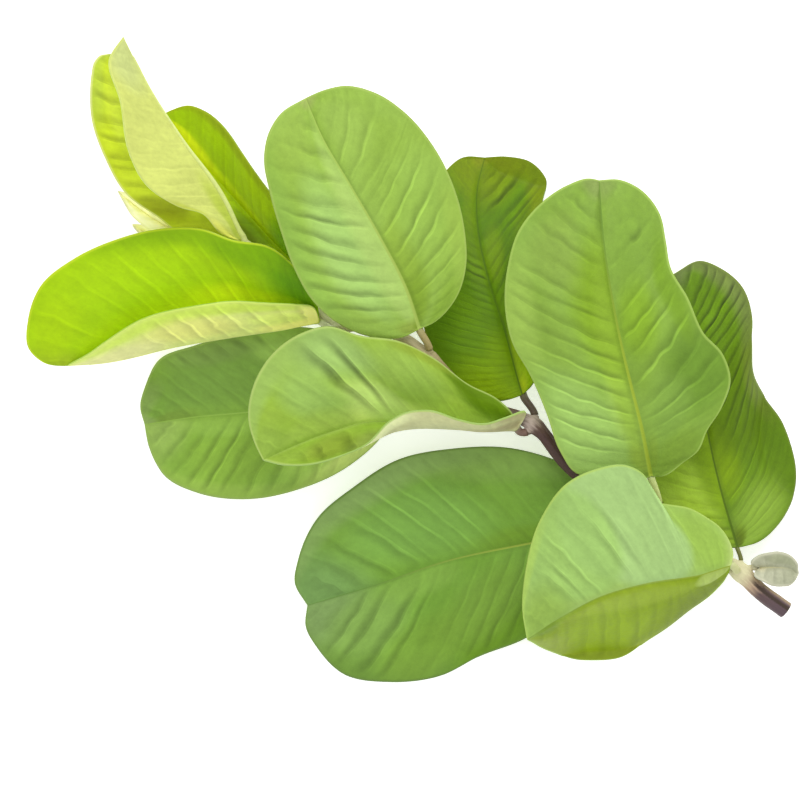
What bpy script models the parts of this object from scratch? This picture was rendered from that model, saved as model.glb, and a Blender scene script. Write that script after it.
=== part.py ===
# A cut guava twig with its leaves, lying on a table. Tables are in millimetres, and the model is in metres.
# +Z is up, the table is z = 0, and the origin is under the middle of the whole twig.
import bpy
import numpy as np

MM = 0.001

BLADE_THICKNESS = 0.6
MARGIN_GROWTH = 0.45
RIB_DEPTH = 1.1
RIB_DEPTH_AT_TIP = 0.35
STALK_RADIUS = 1.05
STALK_LEAN = 0.6
JOINT_GAP = 0.3
VEIN_LEAD = 1.6
FOLD_BLEND = 1.5
LEAST_SLOPE = 0.5
BLADE_ARCH = 1.2

# The raised sockets on the stem: how far they reach out, and how much wider than the stalk they are
CUSHION_SPREAD = 1.25
CUSHION_REACH = 1.0
CUSHION_SIDES = 10
CUSHION_AT_STEM = 0.5
CUSHION_AT_SHOULDER = 0.45
CUSHION_AT_FACE = 0.1
SHOULDER_DEPTH = 0.8
NEVER_ALONG = (0.3, 0.2, 1)

LEAF_ROUGHNESS = 0.45
BARK_ROUGHNESS = 0.7
SHARP_ANGLE = 50

# Where the columns of points lie, from the midrib (0) to the margin (1)
ACROSS = (0.07, 0.35, 0.68, 1.0)
ROWS = 20
STALK_RINGS = 4

# The stem from its cut end to its tip: x, y, height and radius
STEM = (
    (120, -80.5, 14.5, 2.8),
    (110, -73, 17, 2.7),
    (105, -68, 18, 2.5),
    (91, -60, 20, 2.4),
    (76, -51, 22, 2.4),
    (60, -42, 22.5, 2.3),
    (49, -33, 23, 2.2),
    (39, -21, 24, 2.1),
    (20, -13.6, 25.5, 2.0),
    (5, 1, 27, 1.9),
    (-5, 8, 27.5, 1.8),
    (-15, 11, 28, 1.7),
    (-24, 11, 28, 1.7),
    (-34, 19, 29.5, 1.5),
    (-43, 28, 31, 1.4),
    (-50, 34, 32, 1.3),
    (-50.6, 34.4, 35, 0.5),
)
NODES = {"first": 2, "second": 4, "third": 7, "fourth": 9, "fifth": 12, "sixth": 15}
STEM_SIDES = 12
STEM_RINGS_PER_STEP = 2
NODE_SWELL = 0.28
NODE_SWELL_LENGTH = 2.6
SQUARENESS = 0.09
CUT_SLANT = 0.45

# Each leaf stands on a node of the stem. Its base is where stalk and blade meet, and its heading is in degrees.
# The lines run from base to tip as (along the heading, across to the left, height over the table).
# A height under the table stands for blade that the table presses flat.
LEAVES = {
    "right_back_leaf": {
        "node": "first", "base": (104, -60), "heading": 103, "colour": (0.20, 0.36, 0.045),
        "stalk": 0.6, "midrib": ((0, 0, 17), (16, 1, 15), (37, 1, 12), (57, 0, 10), (75, -1, 8), (90, 0, 6)),
        "left": ((2, 7, 16), (11, 15, 15), (22, 21, 15), (39, 22, 14), (56, 18, 13), (73, 13, 11), (86, 7, 8)),
        "right": ((0, -6, 14), (4, -14, 7), (12, -21, 0), (23, -24, -9), (35, -23, -8), (45, -19, 0),
                  (54, -17, 8), (63, -19, 11), (71, -21, 9), (81, -20, 6), (88, -15, 4), (92, -9, 4)),
    },
    "front_leaf": {
        "node": "first", "base": (101.5, -66), "heading": -161, "colour": (0.42, 0.62, 0.20),
        "midrib": ((0, 0, 24.5), (10, 0, 29), (27, -3, 34), (41, -4, 35), (56, -2, 29), (69, 1, 20)),
        "left": ((3, 3.6, 20), (7, 5.6, 17), (17, 9.2, 10), (32, 14, 2), (44, 16, -5), (54, 13, -5),
                 (62, 8, 3)),
        "right": ((-2, -3.5, 24.5), (-2.2, -8, 25.5), (-0.8, -12.8, 27), (2, -16.8, 28.5), (7, -22, 31),
                  (13, -25.2, 33), (16, -27, 36), (16.2, -32, 38.5), (17, -37, 41), (21, -41, 42),
                  (30, -43, 41), (40, -42, 39), (52, -34, 35), (62, -20, 29), (67, -8, 23)),
    },
    "grey_leaf": {
        "node": "first", "base": (110.8, -66.6), "heading": -4, "colour": (0.40, 0.43, 0.33),
        "rows": 12, "stalk": 0.8, "arch": (0.4, 0.4),
        "midrib": ((0, 0, 18), (4.5, 0.5, 18), (9, 0.5, 17), (12.8, -1, 14)),
        "left": ((-2.6, 1.7, 20.3), (0.4, 4.1, 20.6), (3.5, 5, 20.6), (7, 5.2, 20.3), (10, 4.2, 18.5),
                 (12, 2.2, 16.5)),
        "right": ((-1.2, -2.4, 21), (1.6, -4, 20.6), (4.8, -5, 19), (7.5, -5, 17.4), (10, -4.6, 16),
                  (12, -2.8, 15)),
    },
    "right_leaf": {
        "node": "second", "base": (76.1, -37.1), "heading": 100, "colour": (0.29, 0.52, 0.085),
        "out": (0.55, 0.75, 0.35),
        "midrib": ((0, 0, 27.5), (8, 0, 29), (27, 1, 32), (48, 2, 34), (74, 2, 33), (96, 0, 28)),
        "left": ((-0.5, 4, 28), (3, 16, 30), (5, 23, 31), (13, 27, 32), (25, 29, 33), (38, 32, 34),
                 (50, 36, 35), (63, 36, 35), (74, 33, 35), (84, 28, 34), (92, 19, 32), (96, 10, 30),
                 (97, 3, 29)),
        "right": ((-0.5, -4.4, 28), (2.3, -10.5, 29), (5.2, -16, 31), (11, -19.8, 33), (18, -26, 35),
                  (26, -30, 35), (34, -29, 36), (42, -24, 39), (54, -21, 40), (64, -17.4, 38), (73, -17.4, 34),
                  (82, -17, 31), (91, -12, 28), (95, -6, 27)),
    },
    "lower_leaf": {
        "node": "second", "base": (69, -53), "heading": -166, "colour": (0.17, 0.37, 0.08),
        "midrib": ((0, 0, 19), (16, -1, 17), (32, -2, 14), (58, -3, 9), (82, -1, 5), (106, 0, 2)),
        "left": ((8, 8, 17), (22, 19, 13), (41, 27, 7), (56, 29, 1), (70, 32, -4), (86, 30, -5), (100, 24, -4),
                 (106, 14, -1), (108, 6, 1)),
        "right": ((1, -9, 19), (8, -18, 18), (18, -26, 16), (31, -33, 14), (48, -37, 12), (66, -38, 11),
                  (82, -33, 9), (96, -26, 7), (105, -15, 5), (108, -8, 4)),
    },
    "upper_back_leaf": {
        "node": "third", "base": (35, -11), "heading": 99, "colour": (0.15, 0.30, 0.02),
        "midrib": ((0, 0, 22), (20, 2, 20), (38, 5, 16), (54, 6, 11), (67, 4, 5), (77, 0, 0)),
        "left": ((-1, 6, 20.5), (2, 17, 18.5), (10, 24, 18), (22, 27, 17), (36, 27, 14), (52, 23, 11), (66, 18, 7),
                 (75, 12, 3), (78, 6, 0)),
        "right": ((3, -4, 22), (16, -7, 20), (32, -9, 17), (48, -12, 13), (60, -16, 5), (67, -18, -2),
                  (73, -14, -4), (76, -7, -3)),
    },
    "centre_leaf": {
        "node": "third", "base": (33.2, -22.3), "heading": -174, "colour": (0.34, 0.56, 0.12),
        "arch": (-1.5, 2.0), "out": (-0.8, -0.6, 0.15),
        "midrib": ((0, 0, 25), (5.7, -0.2, 23), (18.7, -1.9, 21), (30.8, -3.9, 21), (44.8, -6.9, 22),
                   (59.8, -4.9, 25), (81.8, 1.1, 30)),
        "left": ((-3.2, -5.4, 31), (2.8, -3.9, 35), (9.8, -2.9, 38), (17.8, -4.9, 41), (27.8, -8.9, 43),
                 (34.8, -8.9, 43), (39.8, -6.9, 42), (47.8, -0.9, 40), (55.8, 2.1, 38), (66.8, 4.1, 35), (75.8, 3.1, 32)),
        "right": ((0.8, -4.9, 28), (4.8, -9.9, 29), (13.8, -15.9, 31), (24.8, -25.9, 34), (34.8, -31.9, 37),
                  (46.8, -34.9, 39), (56.8, -38.9, 41), (66.8, -36.9, 41), (76.8, -29.9, 39), (82.8, -20.9, 37),
                  (84.8, -11.9, 34), (83.8, -4.9, 32)),
    },
    "upper_leaf": {
        "node": "fourth", "base": (2, 10), "heading": 117, "colour": (0.36, 0.58, 0.15),
        "midrib": ((0, 0, 32), (12, -2, 36), (31, -2, 41), (50, -1, 45), (68, 0, 47), (82, -1, 46)),
        "left": ((0, 5, 33), (5, 15, 36), (14, 22.5, 39), (24, 26, 42), (35, 26.5, 45), (47, 25, 48),
                 (60, 22.5, 50), (71, 19, 51), (77, 14.5, 50), (81, 8, 48)),
        "right": ((0, -6, 33), (4, -15.5, 36), (11, -22, 39), (22, -27, 42), (36, -30, 45), (50, -30, 47),
                  (63, -27, 48), (73, -21.5, 48), (79.5, -14, 48), (81.5, -7, 47)),
    },
    "left_leaf": {
        "node": "fourth", "base": (-3, -3), "heading": -168, "colour": (0.20, 0.40, 0.09),
        "midrib": ((0, 0, 24), (17, 3, 18), (35, 4, 12), (51, 3, 8), (68, 1, 3), (85, 0, -1)),
        "left": ((2, 7, 20), (10, 18, 15), (23, 26, 14), (39, 30, 13), (57, 30, 10), (72, 25, 6), (82, 17, 1),
                 (85, 7, -2)),
        "right": ((3, -6, 22), (15, -14, 20), (30, -20, 19), (47, -22, 17), (64, -21, 12), (76, -19, 3),
                  (82, -12, -2), (85, -6, -3)),
    },
    "lime_leaf": {
        "node": "fifth", "base": (-30, 12), "heading": -171, "colour": (0.35, 0.66, 0.01),
        "arch": (-1.0, 2.0),
        "midrib": ((0, 0, 30), (11, 1, 27), (26, 1, 25), (45, 1, 24), (65, 2, 24), (82, 1, 26)),
        "left": ((1, -5, 34), (7, -7, 37), (17, -9, 40), (29, -11, 42), (43, -11, 43), (57, -9, 41),
                 (67, -5, 36), (76, -1, 30)),
        "right": ((0, -7, 34), (4, -17, 38), (12, -26, 40), (23, -30, 41), (32, -35, 40), (44, -37, 39),
                  (59, -36, 38), (74, -32, 36), (86, -25, 33), (91.5, -15.5, 30), (92.8, -6, 28),
                  (88.5, -0.8, 27)),
    },
    "lime_back_leaf": {
        "node": "fifth", "base": (-31, 24), "heading": 132, "colour": (0.30, 0.55, 0.01),
        "midrib": ((0, 0, 26), (19, 1, 23), (38, 1, 21), (56, 1, 20), (68, 0, 19), (73.5, 0, 18)),
        "left": ((5, 5, 25), (20, 11, 22), (38, 13, 20), (55, 12, 20), (68, 8, 19)),
        "right": ((4, -5, 27), (13, -8, 30), (25, -8.6, 31), (36, -9.2, 31), (47, -10.5, 30), (59, -11.6, 27),
                  (65, -10.5, 24), (70, -7.8, 21), (72.5, -3, 19)),
    },
    "tip_leaf": {
        "node": "sixth", "base": (-55, 38), "heading": 120, "colour": (0.50, 0.70, 0.03), "arch": (0.5, -0.5),
        "out": (-0.55, 0.75, 0.4),
        "midrib": ((0, 0, 33.5), (16, -2, 38), (36, 0, 45), (56, 1, 50), (75, 0, 52)),
        "left": ((3, 6, 32), (9, 14, 32), (20, 19, 35), (32, 24, 39), (44, 24, 42), (57, 21.5, 44),
                 (65, 17.5, 46), (69.5, 14.5, 47), (72.4, 12, 48), (73.4, 9, 49), (72.6, 7, 49.5),
                 (71.6, 6, 50), (72.4, 4.4, 50.5), (74, 2, 51.2)),
        "right": ((5, 4, 37), (13, 6, 44), (20, 12, 50), (31, 17, 57), (43, 16, 60), (57, 11, 59), (71, 7, 55)),
    },
    "bud_leaf_long": {
        "node": "sixth", "base": (-58, 35.5), "heading": 153, "colour": (0.75, 0.74, 0.42),
        "rows": 12, "stalk": 0.55, "arch": (0.3, 0.3), "out": (-0.9, -0.15, -0.35),
        "midrib": ((0, 0, 30), (17, 3, 29), (32, 2, 29), (41, 0, 30)),
        "left": ((7, 5, 31), (20, 7, 31), (32, 5, 31)),
        "right": ((10, -1, 31), (24, -1, 31), (35, -1, 31)),
    },
    "bud_leaf_short": {
        "node": "sixth", "base": (-57, 31.5), "heading": 160, "colour": (0.72, 0.72, 0.40),
        "rows": 12, "stalk": 0.55, "arch": (0.3, 0.3), "out": (-0.3, -0.85, -0.4),
        "midrib": ((0, 0, 28), (13, 2, 25), (25, 2, 24), (35, 0, 25)),
        "left": ((7, 5, 27), (19, 6, 26), (28, 4, 26)),
        "right": ((9, -1, 27), (21, -2, 26), (30, -1, 26)),
    },
}

BARK_COLOUR = (0.30, 0.22, 0.09)


def unit(vector):
    return vector / np.linalg.norm(vector, axis=-1, keepdims=True)


def smooth_line(points, steps=16):
    """Many points along a smooth curve through the given ones."""
    points = np.array(points, float)
    padded = np.vstack([2 * points[0] - points[1], points, 2 * points[-1] - points[-2]])
    gaps = np.linalg.norm(np.diff(padded, axis=0), axis=1)
    t = np.linspace(0, 1, steps, endpoint=False)[:, None]
    pieces = []
    for i in range(len(points) - 1):
        p0, p1, p2, p3 = padded[i : i + 4]
        before, here, after = gaps[i : i + 3]
        start = here * ((p1 - p0) / before - (p2 - p0) / (before + here)) + p2 - p1
        end = here * ((p3 - p2) / after - (p3 - p1) / (here + after)) + p2 - p1
        pieces.append(p1 + t * (start + t * (3 * (p2 - p1) - 2 * start - end + t * (2 * (p1 - p2) + start + end))))
    return np.vstack(pieces + [points[-1:]])


def read_at(line, shares):
    """The points at these shares of a line's length."""
    reached = np.concatenate([[0], np.cumsum(np.linalg.norm(np.diff(line, axis=0), axis=1))])
    at = np.asarray(shares) * reached[-1]
    return np.stack([np.interp(at, reached, line[:, k]) for k in range(line.shape[1])], axis=-1)


def placed(leaf, points):
    """A leaf's own (along, left, height) points as x, y and z."""
    points = np.array(points, float)
    turn = np.radians(leaf["heading"])
    x = leaf["base"][0] + points[:, 0] * np.cos(turn) - points[:, 1] * np.sin(turn)
    y = leaf["base"][1] + points[:, 0] * np.sin(turn) + points[:, 1] * np.cos(turn)
    return np.stack([x, y, points[:, 2]], axis=1)


def grid_normals(grid):
    return unit(np.cross(np.gradient(grid, axis=1), np.gradient(grid, axis=0)))


def blade_middle(leaf):
    """The blade's middle surface: rows from base to tip along the side veins, columns from left to right."""
    rows = leaf.get("rows", ROWS)
    share = np.linspace(0, 1, rows + 1)[1:-1]
    midrib = smooth_line(placed(leaf, leaf["midrib"]))
    rib_points = read_at(midrib, share**VEIN_LEAD)
    halves = []
    for side in ("left", "right"):
        ends = (leaf["midrib"][0], *leaf[side], leaf["midrib"][-1])
        edge_points = read_at(smooth_line(placed(leaf, ends)), share)
        growth = MARGIN_GROWTH * np.sqrt(np.sin(np.pi * share))[:, None]
        edge_points = edge_points + unit(edge_points - rib_points) * growth
        out = np.array(ACROSS)[None, :, None]
        halves.append(rib_points[:, None] * (1 - out) + edge_points[:, None] * out)
    grid = np.concatenate([halves[0][:, ::-1], rib_points[:, None], halves[1]], axis=1)
    left_arch, right_arch = leaf.get("arch", (BLADE_ARCH, BLADE_ARCH))
    out = np.array([*reversed(ACROSS), 0, *ACROSS])
    arch = np.concatenate([np.full(len(ACROSS), left_arch), np.full(len(ACROSS) + 1, right_arch)])
    lift = 4 * out * (1 - out) * arch * np.sin(np.pi * share)[:, None]
    grid = grid + grid_normals(grid) * lift[..., None]
    grid[..., 2] = np.maximum(grid[..., 2], BLADE_THICKNESS / 2)
    return grid, midrib


def blade_faces_points(grid):
    """The points of the blade's upper and lower faces, with the midrib's ridge below."""
    normals = grid_normals(grid)
    pressed = grid[..., 2] <= BLADE_THICKNESS / 2
    centre = len(ACROSS)
    fold = normals[:, centre : centre + 1]
    reach = np.linalg.norm(grid - grid[:, centre : centre + 1], axis=2, keepdims=True)
    blend = np.clip(reach / FOLD_BLEND, 0, 1)
    used = unit(fold * (1 - blend) + normals * blend)
    used[:, centre] = fold[:, 0]
    slope = np.clip(np.sum(used * normals, axis=2, keepdims=True), LEAST_SLOPE, 1)
    half = used * BLADE_THICKNESS / 2 / slope
    upper, lower = grid + half, grid - half
    ridge = np.linspace(RIB_DEPTH, RIB_DEPTH_AT_TIP, len(grid))[:, None]
    lower[:, centre] -= fold[:, 0] * ridge
    lower[..., 2] = np.where(pressed, 0, np.maximum(lower[..., 2], 0))
    upper[..., 2] = np.where(pressed, BLADE_THICKNESS, np.maximum(upper[..., 2], BLADE_THICKNESS))
    return upper, lower


def stem_line():
    return smooth_line([point[:3] for point in STEM], STEM_RINGS_PER_STEP)


def stalk_start(leaf):
    """Where the stalk leaves the stem: the node, the direction outwards and the distance to the stalk's end."""
    index = NODES[leaf["node"]]
    node = np.array(STEM[index][:3], float)
    along = unit(np.array(STEM[index + 1][:3]) - np.array(STEM[index - 1][:3], float))
    base = np.array([*leaf["base"], leaf["midrib"][0][2]], float)
    toward = unit(base - node)
    forward = toward @ along
    out = unit(unit(toward - forward * along) + STALK_LEAN * np.sign(forward) * along)
    if "out" in leaf:
        out = unit(np.array(leaf["out"]))
    return node, out, CUSHION_SPREAD * STEM[index][3] + CUSHION_REACH


def stalk_rings(leaf, midrib, up):
    """Rings of points along the stalk, each split into an upper and a lower row like the blade's."""
    node, out, reach = stalk_start(leaf)
    radius = leaf.get("stalk", STALK_RADIUS)
    start = node + out * (reach + JOINT_GAP)
    end, ahead = midrib[0], unit(midrib[2] - midrib[0])
    pull = np.linalg.norm(end - start)
    columns = 2 * len(ACROSS) + 1
    step = np.pi / columns
    rings = []
    for t in np.linspace(0, 1, STALK_RINGS):
        centre = ((2 * t**3 - 3 * t**2 + 1) * start + (t**3 - 2 * t**2 + t) * pull * out
                  + (3 * t**2 - 2 * t**3) * end + (t**3 - t**2) * pull * ahead)
        heading = unit((6 * t**2 - 6 * t) * (start - end) + (3 * t**2 - 4 * t + 1) * pull * out
                       + (3 * t**2 - 2 * t) * pull * ahead)
        right = unit(np.cross(heading, up))
        above = np.cross(right, heading)
        angles = np.pi - step * (np.arange(columns) + 0.5)
        arc = np.cos(angles)[:, None] * right
        rise = np.sin(angles)[:, None] * above
        rings.append((centre + radius * (arc + rise), centre + radius * (arc - rise)))
    return rings


def closed_skin(rows, tip):
    """Vertices and triangles of one closed body lofted through (upper, lower) rows, ending at a two-point tip."""
    columns = len(rows[0][0])
    points = np.vstack([np.vstack([upper, lower]) for upper, lower in rows] + [tip])
    faces = []

    def point(row, column, below):
        return (row * 2 + below) * columns + column

    def patch(a, b, c, d, turned):
        faces.extend(((a, b, d), (b, c, d)) if turned else ((a, b, c), (a, c, d)))

    last = len(rows) - 1
    for row in range(last):
        for column in range(columns - 1):
            turned = column < columns // 2
            a, b = point(row, column, 0), point(row, column + 1, 0)
            c, d = point(row + 1, column + 1, 0), point(row + 1, column, 0)
            patch(a, b, c, d, turned)
            e, f, g, h = a + columns, b + columns, c + columns, d + columns
            faces.extend(((e, h, f), (f, h, g)) if turned else ((e, g, f), (e, h, g)))
        left, right = point(row, 0, 0), point(row, columns - 1, 0)
        next_left, next_right = point(row + 1, 0, 0), point(row + 1, columns - 1, 0)
        patch(left, next_left, next_left + columns, left + columns, False)
        patch(right, right + columns, next_right + columns, next_right, False)
    top, bottom = len(points) - 2, len(points) - 1
    for column in range(columns - 1):
        a, b = point(last, column, 0), point(last, column + 1, 0)
        faces.extend(((a, b, top), (b + columns, a + columns, bottom)))
    left, right = point(last, 0, 0), point(last, columns - 1, 0)
    patch(left, top, bottom, left + columns, False)
    patch(right, right + columns, bottom, top, False)
    ring = [point(0, c, 0) for c in range(columns)] + [point(0, c, 1) for c in reversed(range(columns))]
    points = np.vstack([points, points[ring].mean(axis=0)])
    hub = len(points) - 1
    faces.extend((ring[i], hub, ring[(i + 1) % len(ring)]) for i in range(len(ring)))
    return points, faces


def material(name, colour, roughness):
    made = bpy.data.materials.new(name)
    made.use_nodes = True
    shader = made.node_tree.nodes["Principled BSDF"]
    shader.inputs["Base Color"].default_value = (*colour, 1)
    shader.inputs["Roughness"].default_value = roughness
    shader.inputs["Metallic"].default_value = 0
    return made


def solid(name, points, faces, finish):
    mesh = bpy.data.meshes.new(name)
    mesh.from_pydata([tuple(p * MM) for p in points], [], [tuple(map(int, face)) for face in faces])
    mesh.validate()
    mesh.shade_smooth()
    mesh.set_sharp_from_angle(angle=np.radians(SHARP_ANGLE))
    made = bpy.data.objects.new(name, mesh)
    bpy.context.scene.collection.objects.link(made)
    made.data.materials.append(finish)
    return made


def make_leaf(name, leaf):
    grid, midrib = blade_middle(leaf)
    upper, lower = blade_faces_points(grid)
    up = grid_normals(grid)[0, len(ACROSS)]
    rings = stalk_rings(leaf, midrib, up)
    end_up = grid_normals(grid)[-1, len(ACROSS)] * BLADE_THICKNESS / 2
    tip = np.array([midrib[-1] + end_up, midrib[-1] - end_up])
    tip[:, 2] = np.maximum(tip[:, 2], (BLADE_THICKNESS, 0))
    points, faces = closed_skin(rings + list(zip(upper, lower)), tip)
    return solid(name, points, faces, material(name, leaf["colour"], LEAF_ROUGHNESS))


def stem_rings():
    """Rings along the stem, round at the cut end and four-sided at the tip, swollen at each leaf pair."""
    line = stem_line()
    radii = smooth_line([(index, point[3]) for index, point in enumerate(STEM)], STEM_RINGS_PER_STEP)[:, 1]
    headings = unit(np.gradient(line, axis=0))
    swell = np.zeros(len(line))
    for index in NODES.values():
        reach = np.linalg.norm(line - np.array(STEM[index][:3]), axis=1)
        swell = np.maximum(swell, NODE_SWELL * np.exp(-((reach / NODE_SWELL_LENGTH) ** 2)))
    angles = np.linspace(0, 2 * np.pi, STEM_SIDES, endpoint=False)
    rings = []
    for index, (centre, heading) in enumerate(zip(line, headings)):
        side = unit(np.cross(heading, (0, 0, 1)))
        above = np.cross(side, heading)
        square = 1 + SQUARENESS * index / len(line) * np.cos(4 * angles)
        radius = (radii[index] * (1 + swell[index]) * square)[:, None]
        ring = centre + radius * (np.cos(angles)[:, None] * side + np.sin(angles)[:, None] * above)
        if index == 0:
            ring = ring + heading * CUT_SLANT * radius * np.cos(angles)[:, None]
        rings.append(ring)
    return rings


def tube(rings):
    """Vertices and triangles of one closed body lofted through equal rings, with a flat fan at each end."""
    sides = len(rings[0])
    points = np.vstack([*rings, rings[0].mean(axis=0), rings[-1].mean(axis=0)])
    first, last = len(points) - 2, len(points) - 1
    faces = []
    for ring in range(len(rings) - 1):
        for side in range(sides):
            a, b = ring * sides + side, ring * sides + (side + 1) % sides
            faces.extend(((a, b, b + sides), (a, b + sides, a + sides)))
    end = (len(rings) - 1) * sides
    for side in range(sides):
        faces.append((first, (side + 1) % sides, side))
        faces.append((last, end + side, end + (side + 1) % sides))
    return points, faces


def make_cushion(leaf, finish):
    """The raised socket on the stem that a leaf's stalk stands on."""
    node, out, reach = stalk_start(leaf)
    radius = leaf.get("stalk", STALK_RADIUS)
    side = unit(np.cross(out, NEVER_ALONG))
    above = np.cross(side, out)
    angles = np.linspace(0, 2 * np.pi, CUSHION_SIDES, endpoint=False)
    circle = np.cos(angles)[:, None] * side + np.sin(angles)[:, None] * above
    profile = ((0, CUSHION_AT_STEM), (reach - SHOULDER_DEPTH, CUSHION_AT_SHOULDER), (reach, CUSHION_AT_FACE))
    rings = [node + out * distance + circle * (radius + wider) for distance, wider in profile]
    return solid("cushion", *tube(rings), finish)


def make_twig():
    finish = material("bark", BARK_COLOUR, BARK_ROUGHNESS)
    twig = solid("twig", *tube(stem_rings()), finish)
    cushions = bpy.data.collections.new("cushions")
    bpy.context.scene.collection.children.link(cushions)
    for leaf in LEAVES.values():
        cushion = make_cushion(leaf, finish)
        bpy.context.scene.collection.objects.unlink(cushion)
        cushions.objects.link(cushion)
    join = twig.modifiers.new("cushions", "BOOLEAN")
    join.operation = "UNION"
    join.operand_type = "COLLECTION"
    join.collection = cushions
    join.solver = "EXACT"
    bpy.context.view_layer.objects.active = twig
    bpy.ops.object.modifier_apply(modifier=join.name)
    for cushion in list(cushions.objects):
        bpy.data.objects.remove(cushion)
    bpy.data.collections.remove(cushions)
    return twig


def main():
    for old in list(bpy.data.objects):
        bpy.data.objects.remove(old)
    make_twig()
    for name, leaf in LEAVES.items():
        make_leaf(name, leaf)


main()
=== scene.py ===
import math
import bpy
import numpy as np
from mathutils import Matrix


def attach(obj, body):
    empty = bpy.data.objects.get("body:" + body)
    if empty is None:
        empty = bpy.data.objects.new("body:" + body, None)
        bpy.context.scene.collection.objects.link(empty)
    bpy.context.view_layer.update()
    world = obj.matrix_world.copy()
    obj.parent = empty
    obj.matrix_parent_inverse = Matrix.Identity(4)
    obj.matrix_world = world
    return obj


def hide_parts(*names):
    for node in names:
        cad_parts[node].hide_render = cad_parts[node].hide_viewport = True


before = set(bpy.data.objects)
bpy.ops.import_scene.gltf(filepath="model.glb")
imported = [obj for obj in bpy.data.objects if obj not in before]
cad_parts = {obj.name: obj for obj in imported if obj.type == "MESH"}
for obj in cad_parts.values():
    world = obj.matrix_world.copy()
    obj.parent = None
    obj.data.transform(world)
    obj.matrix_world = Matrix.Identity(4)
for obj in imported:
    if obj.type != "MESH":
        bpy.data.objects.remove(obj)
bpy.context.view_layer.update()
mm = 0.001
weld = 0.004                                             # points nearer than this join, in millimetres
print("frame loaded")


# Numbers for shapes

def unit(vectors):
    return vectors / np.maximum(np.linalg.norm(vectors, axis=-1, keepdims=True), 1e-9)


def smoothStep(low, high, value):
    share = np.clip((value - low) / (high - low), 0, 1)
    return share * share * (3 - 2 * share)


def smoothLine(points, steps=24):                        # many points on a smooth curve through these
    points = np.array(points, float)
    padded = np.vstack([2 * points[0] - points[1], points, 2 * points[-1] - points[-2]])
    gaps = np.linalg.norm(np.diff(padded, axis=0), axis=1)
    t = np.linspace(0, 1, steps, endpoint=False)[:, None]
    pieces = []
    for i in range(len(points) - 1):
        p0, p1, p2, p3 = padded[i:i + 4]
        before, here, after = gaps[i:i + 3]
        start = here * ((p1 - p0) / before - (p2 - p0) / (before + here)) + p2 - p1
        end = here * ((p3 - p2) / after - (p3 - p1) / (here + after)) + p2 - p1
        bend = 3 * (p2 - p1) - 2 * start - end
        pieces.append(p1 + t * (start + t * (bend + t * (2 * (p1 - p2) + start + end))))
    return np.vstack(pieces + [points[-1:]])


def lengthAlong(line):
    return np.concatenate([[0], np.cumsum(np.linalg.norm(np.diff(line, axis=0), axis=1))])


def readAt(line, shares):                                # points at these shares of a line's length
    reached = lengthAlong(line)
    at = np.asarray(shares) * reached[-1]
    return np.stack([np.interp(at, reached, line[:, k]) for k in range(line.shape[1])], axis=-1)


# A soft wavering field is a sum of sines, each turned, quickened and delayed against the one before
waves = {"count": 6, "seedTurn": 1.7, "turn": 2.399, "quicken": 0.22, "delay": 1.9, "level": 3.2}


def ripple(x, y, size, seed):                            # the field at x and y, about -1 to 1
    total = np.zeros(np.broadcast(x, y).shape)
    for k in range(waves["count"]):
        turn = seed * waves["seedTurn"] + k * waves["turn"]
        onward = (x * math.cos(turn) + y * math.sin(turn)) * (1 + waves["quicken"] * k)
        total += np.sin(onward * 2 * math.pi / size + seed + waves["delay"] * k)
    return total / waves["level"]


def awayFrom(patch, across, along):                      # 0 in the middle of a patch, and 1 at its reach
    return ((across - patch[0]) / patch[2]) ** 2 + ((along - patch[1]) / patch[3]) ** 2


# Meshes

def deselectAll():
    bpy.ops.object.select_all(action="DESELECT")


def gridPiece(name, points, maps):                       # a primitive grid, laid over rows of points
    deselectAll()
    rows, columns = points.shape[:2]
    bpy.ops.mesh.primitive_grid_add(x_subdivisions=columns - 1, y_subdivisions=rows - 1, size=1)
    piece = bpy.context.object
    piece.name = piece.data.name = name
    piece.data.vertices.foreach_set("co", (points * mm).astype(np.float32).ravel())
    corner = np.zeros(len(piece.data.loops), np.int32)
    piece.data.loops.foreach_get("vertex_index", corner)
    for index, (mapName, across, along) in enumerate(maps):
        if index:
            piece.data.uv_layers.new(name=mapName)
        layer = piece.data.uv_layers[index]
        layer.name = mapName
        places = np.stack(np.broadcast_arrays(across, along), axis=-1).reshape(-1, 2)
        layer.uv.foreach_set("vector", places[corner].astype(np.float32).ravel())
    bpy.ops.object.mode_set(mode="EDIT")
    bpy.ops.mesh.select_all(action="SELECT")
    bpy.ops.mesh.remove_doubles(threshold=weld * mm)
    bpy.ops.object.mode_set(mode="OBJECT")
    bpy.ops.object.shade_smooth()
    return piece


def tubePiece(name, line, radii, sides, maps=("leaf",)):
    # A round tube along a line, closed where its radius is 0
    heading = unit(np.gradient(line, axis=0))
    angles = np.linspace(0, 2 * math.pi, sides + 1)
    side = unit(np.cross(heading[0], (0.3, 0.2, 1)))     # any direction that no line starts along would do
    rings = []
    for centre, ahead, radius in zip(line, heading, radii):
        side = unit(side - (side @ ahead) * ahead)
        above = np.cross(ahead, side)
        rings.append(centre + radius * (np.cos(angles)[:, None] * side + np.sin(angles)[:, None] * above))
    reached = lengthAlong(line)
    turn, along = np.linspace(0, 1, sides + 1)[None], (reached / reached[-1])[:, None]
    return gridPiece(name, np.array(rings), [(mapName, turn, along) for mapName in maps])


def joined(pieces):
    deselectAll()
    for piece in pieces:
        piece.select_set(True)
    bpy.context.view_layer.objects.active = pieces[0]
    bpy.ops.object.join()
    return pieces[0]


def applied(piece, kind, settings):
    deselectAll()
    piece.select_set(True)
    bpy.context.view_layer.objects.active = piece
    bpy.ops.object.modifier_add(type=kind)
    modifier = piece.modifiers[-1]
    for name, value in settings.items():
        setattr(modifier, name, value)
    bpy.ops.object.modifier_apply(modifier=modifier.name)


# Shader maths: a socket that Python's own signs work on

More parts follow.
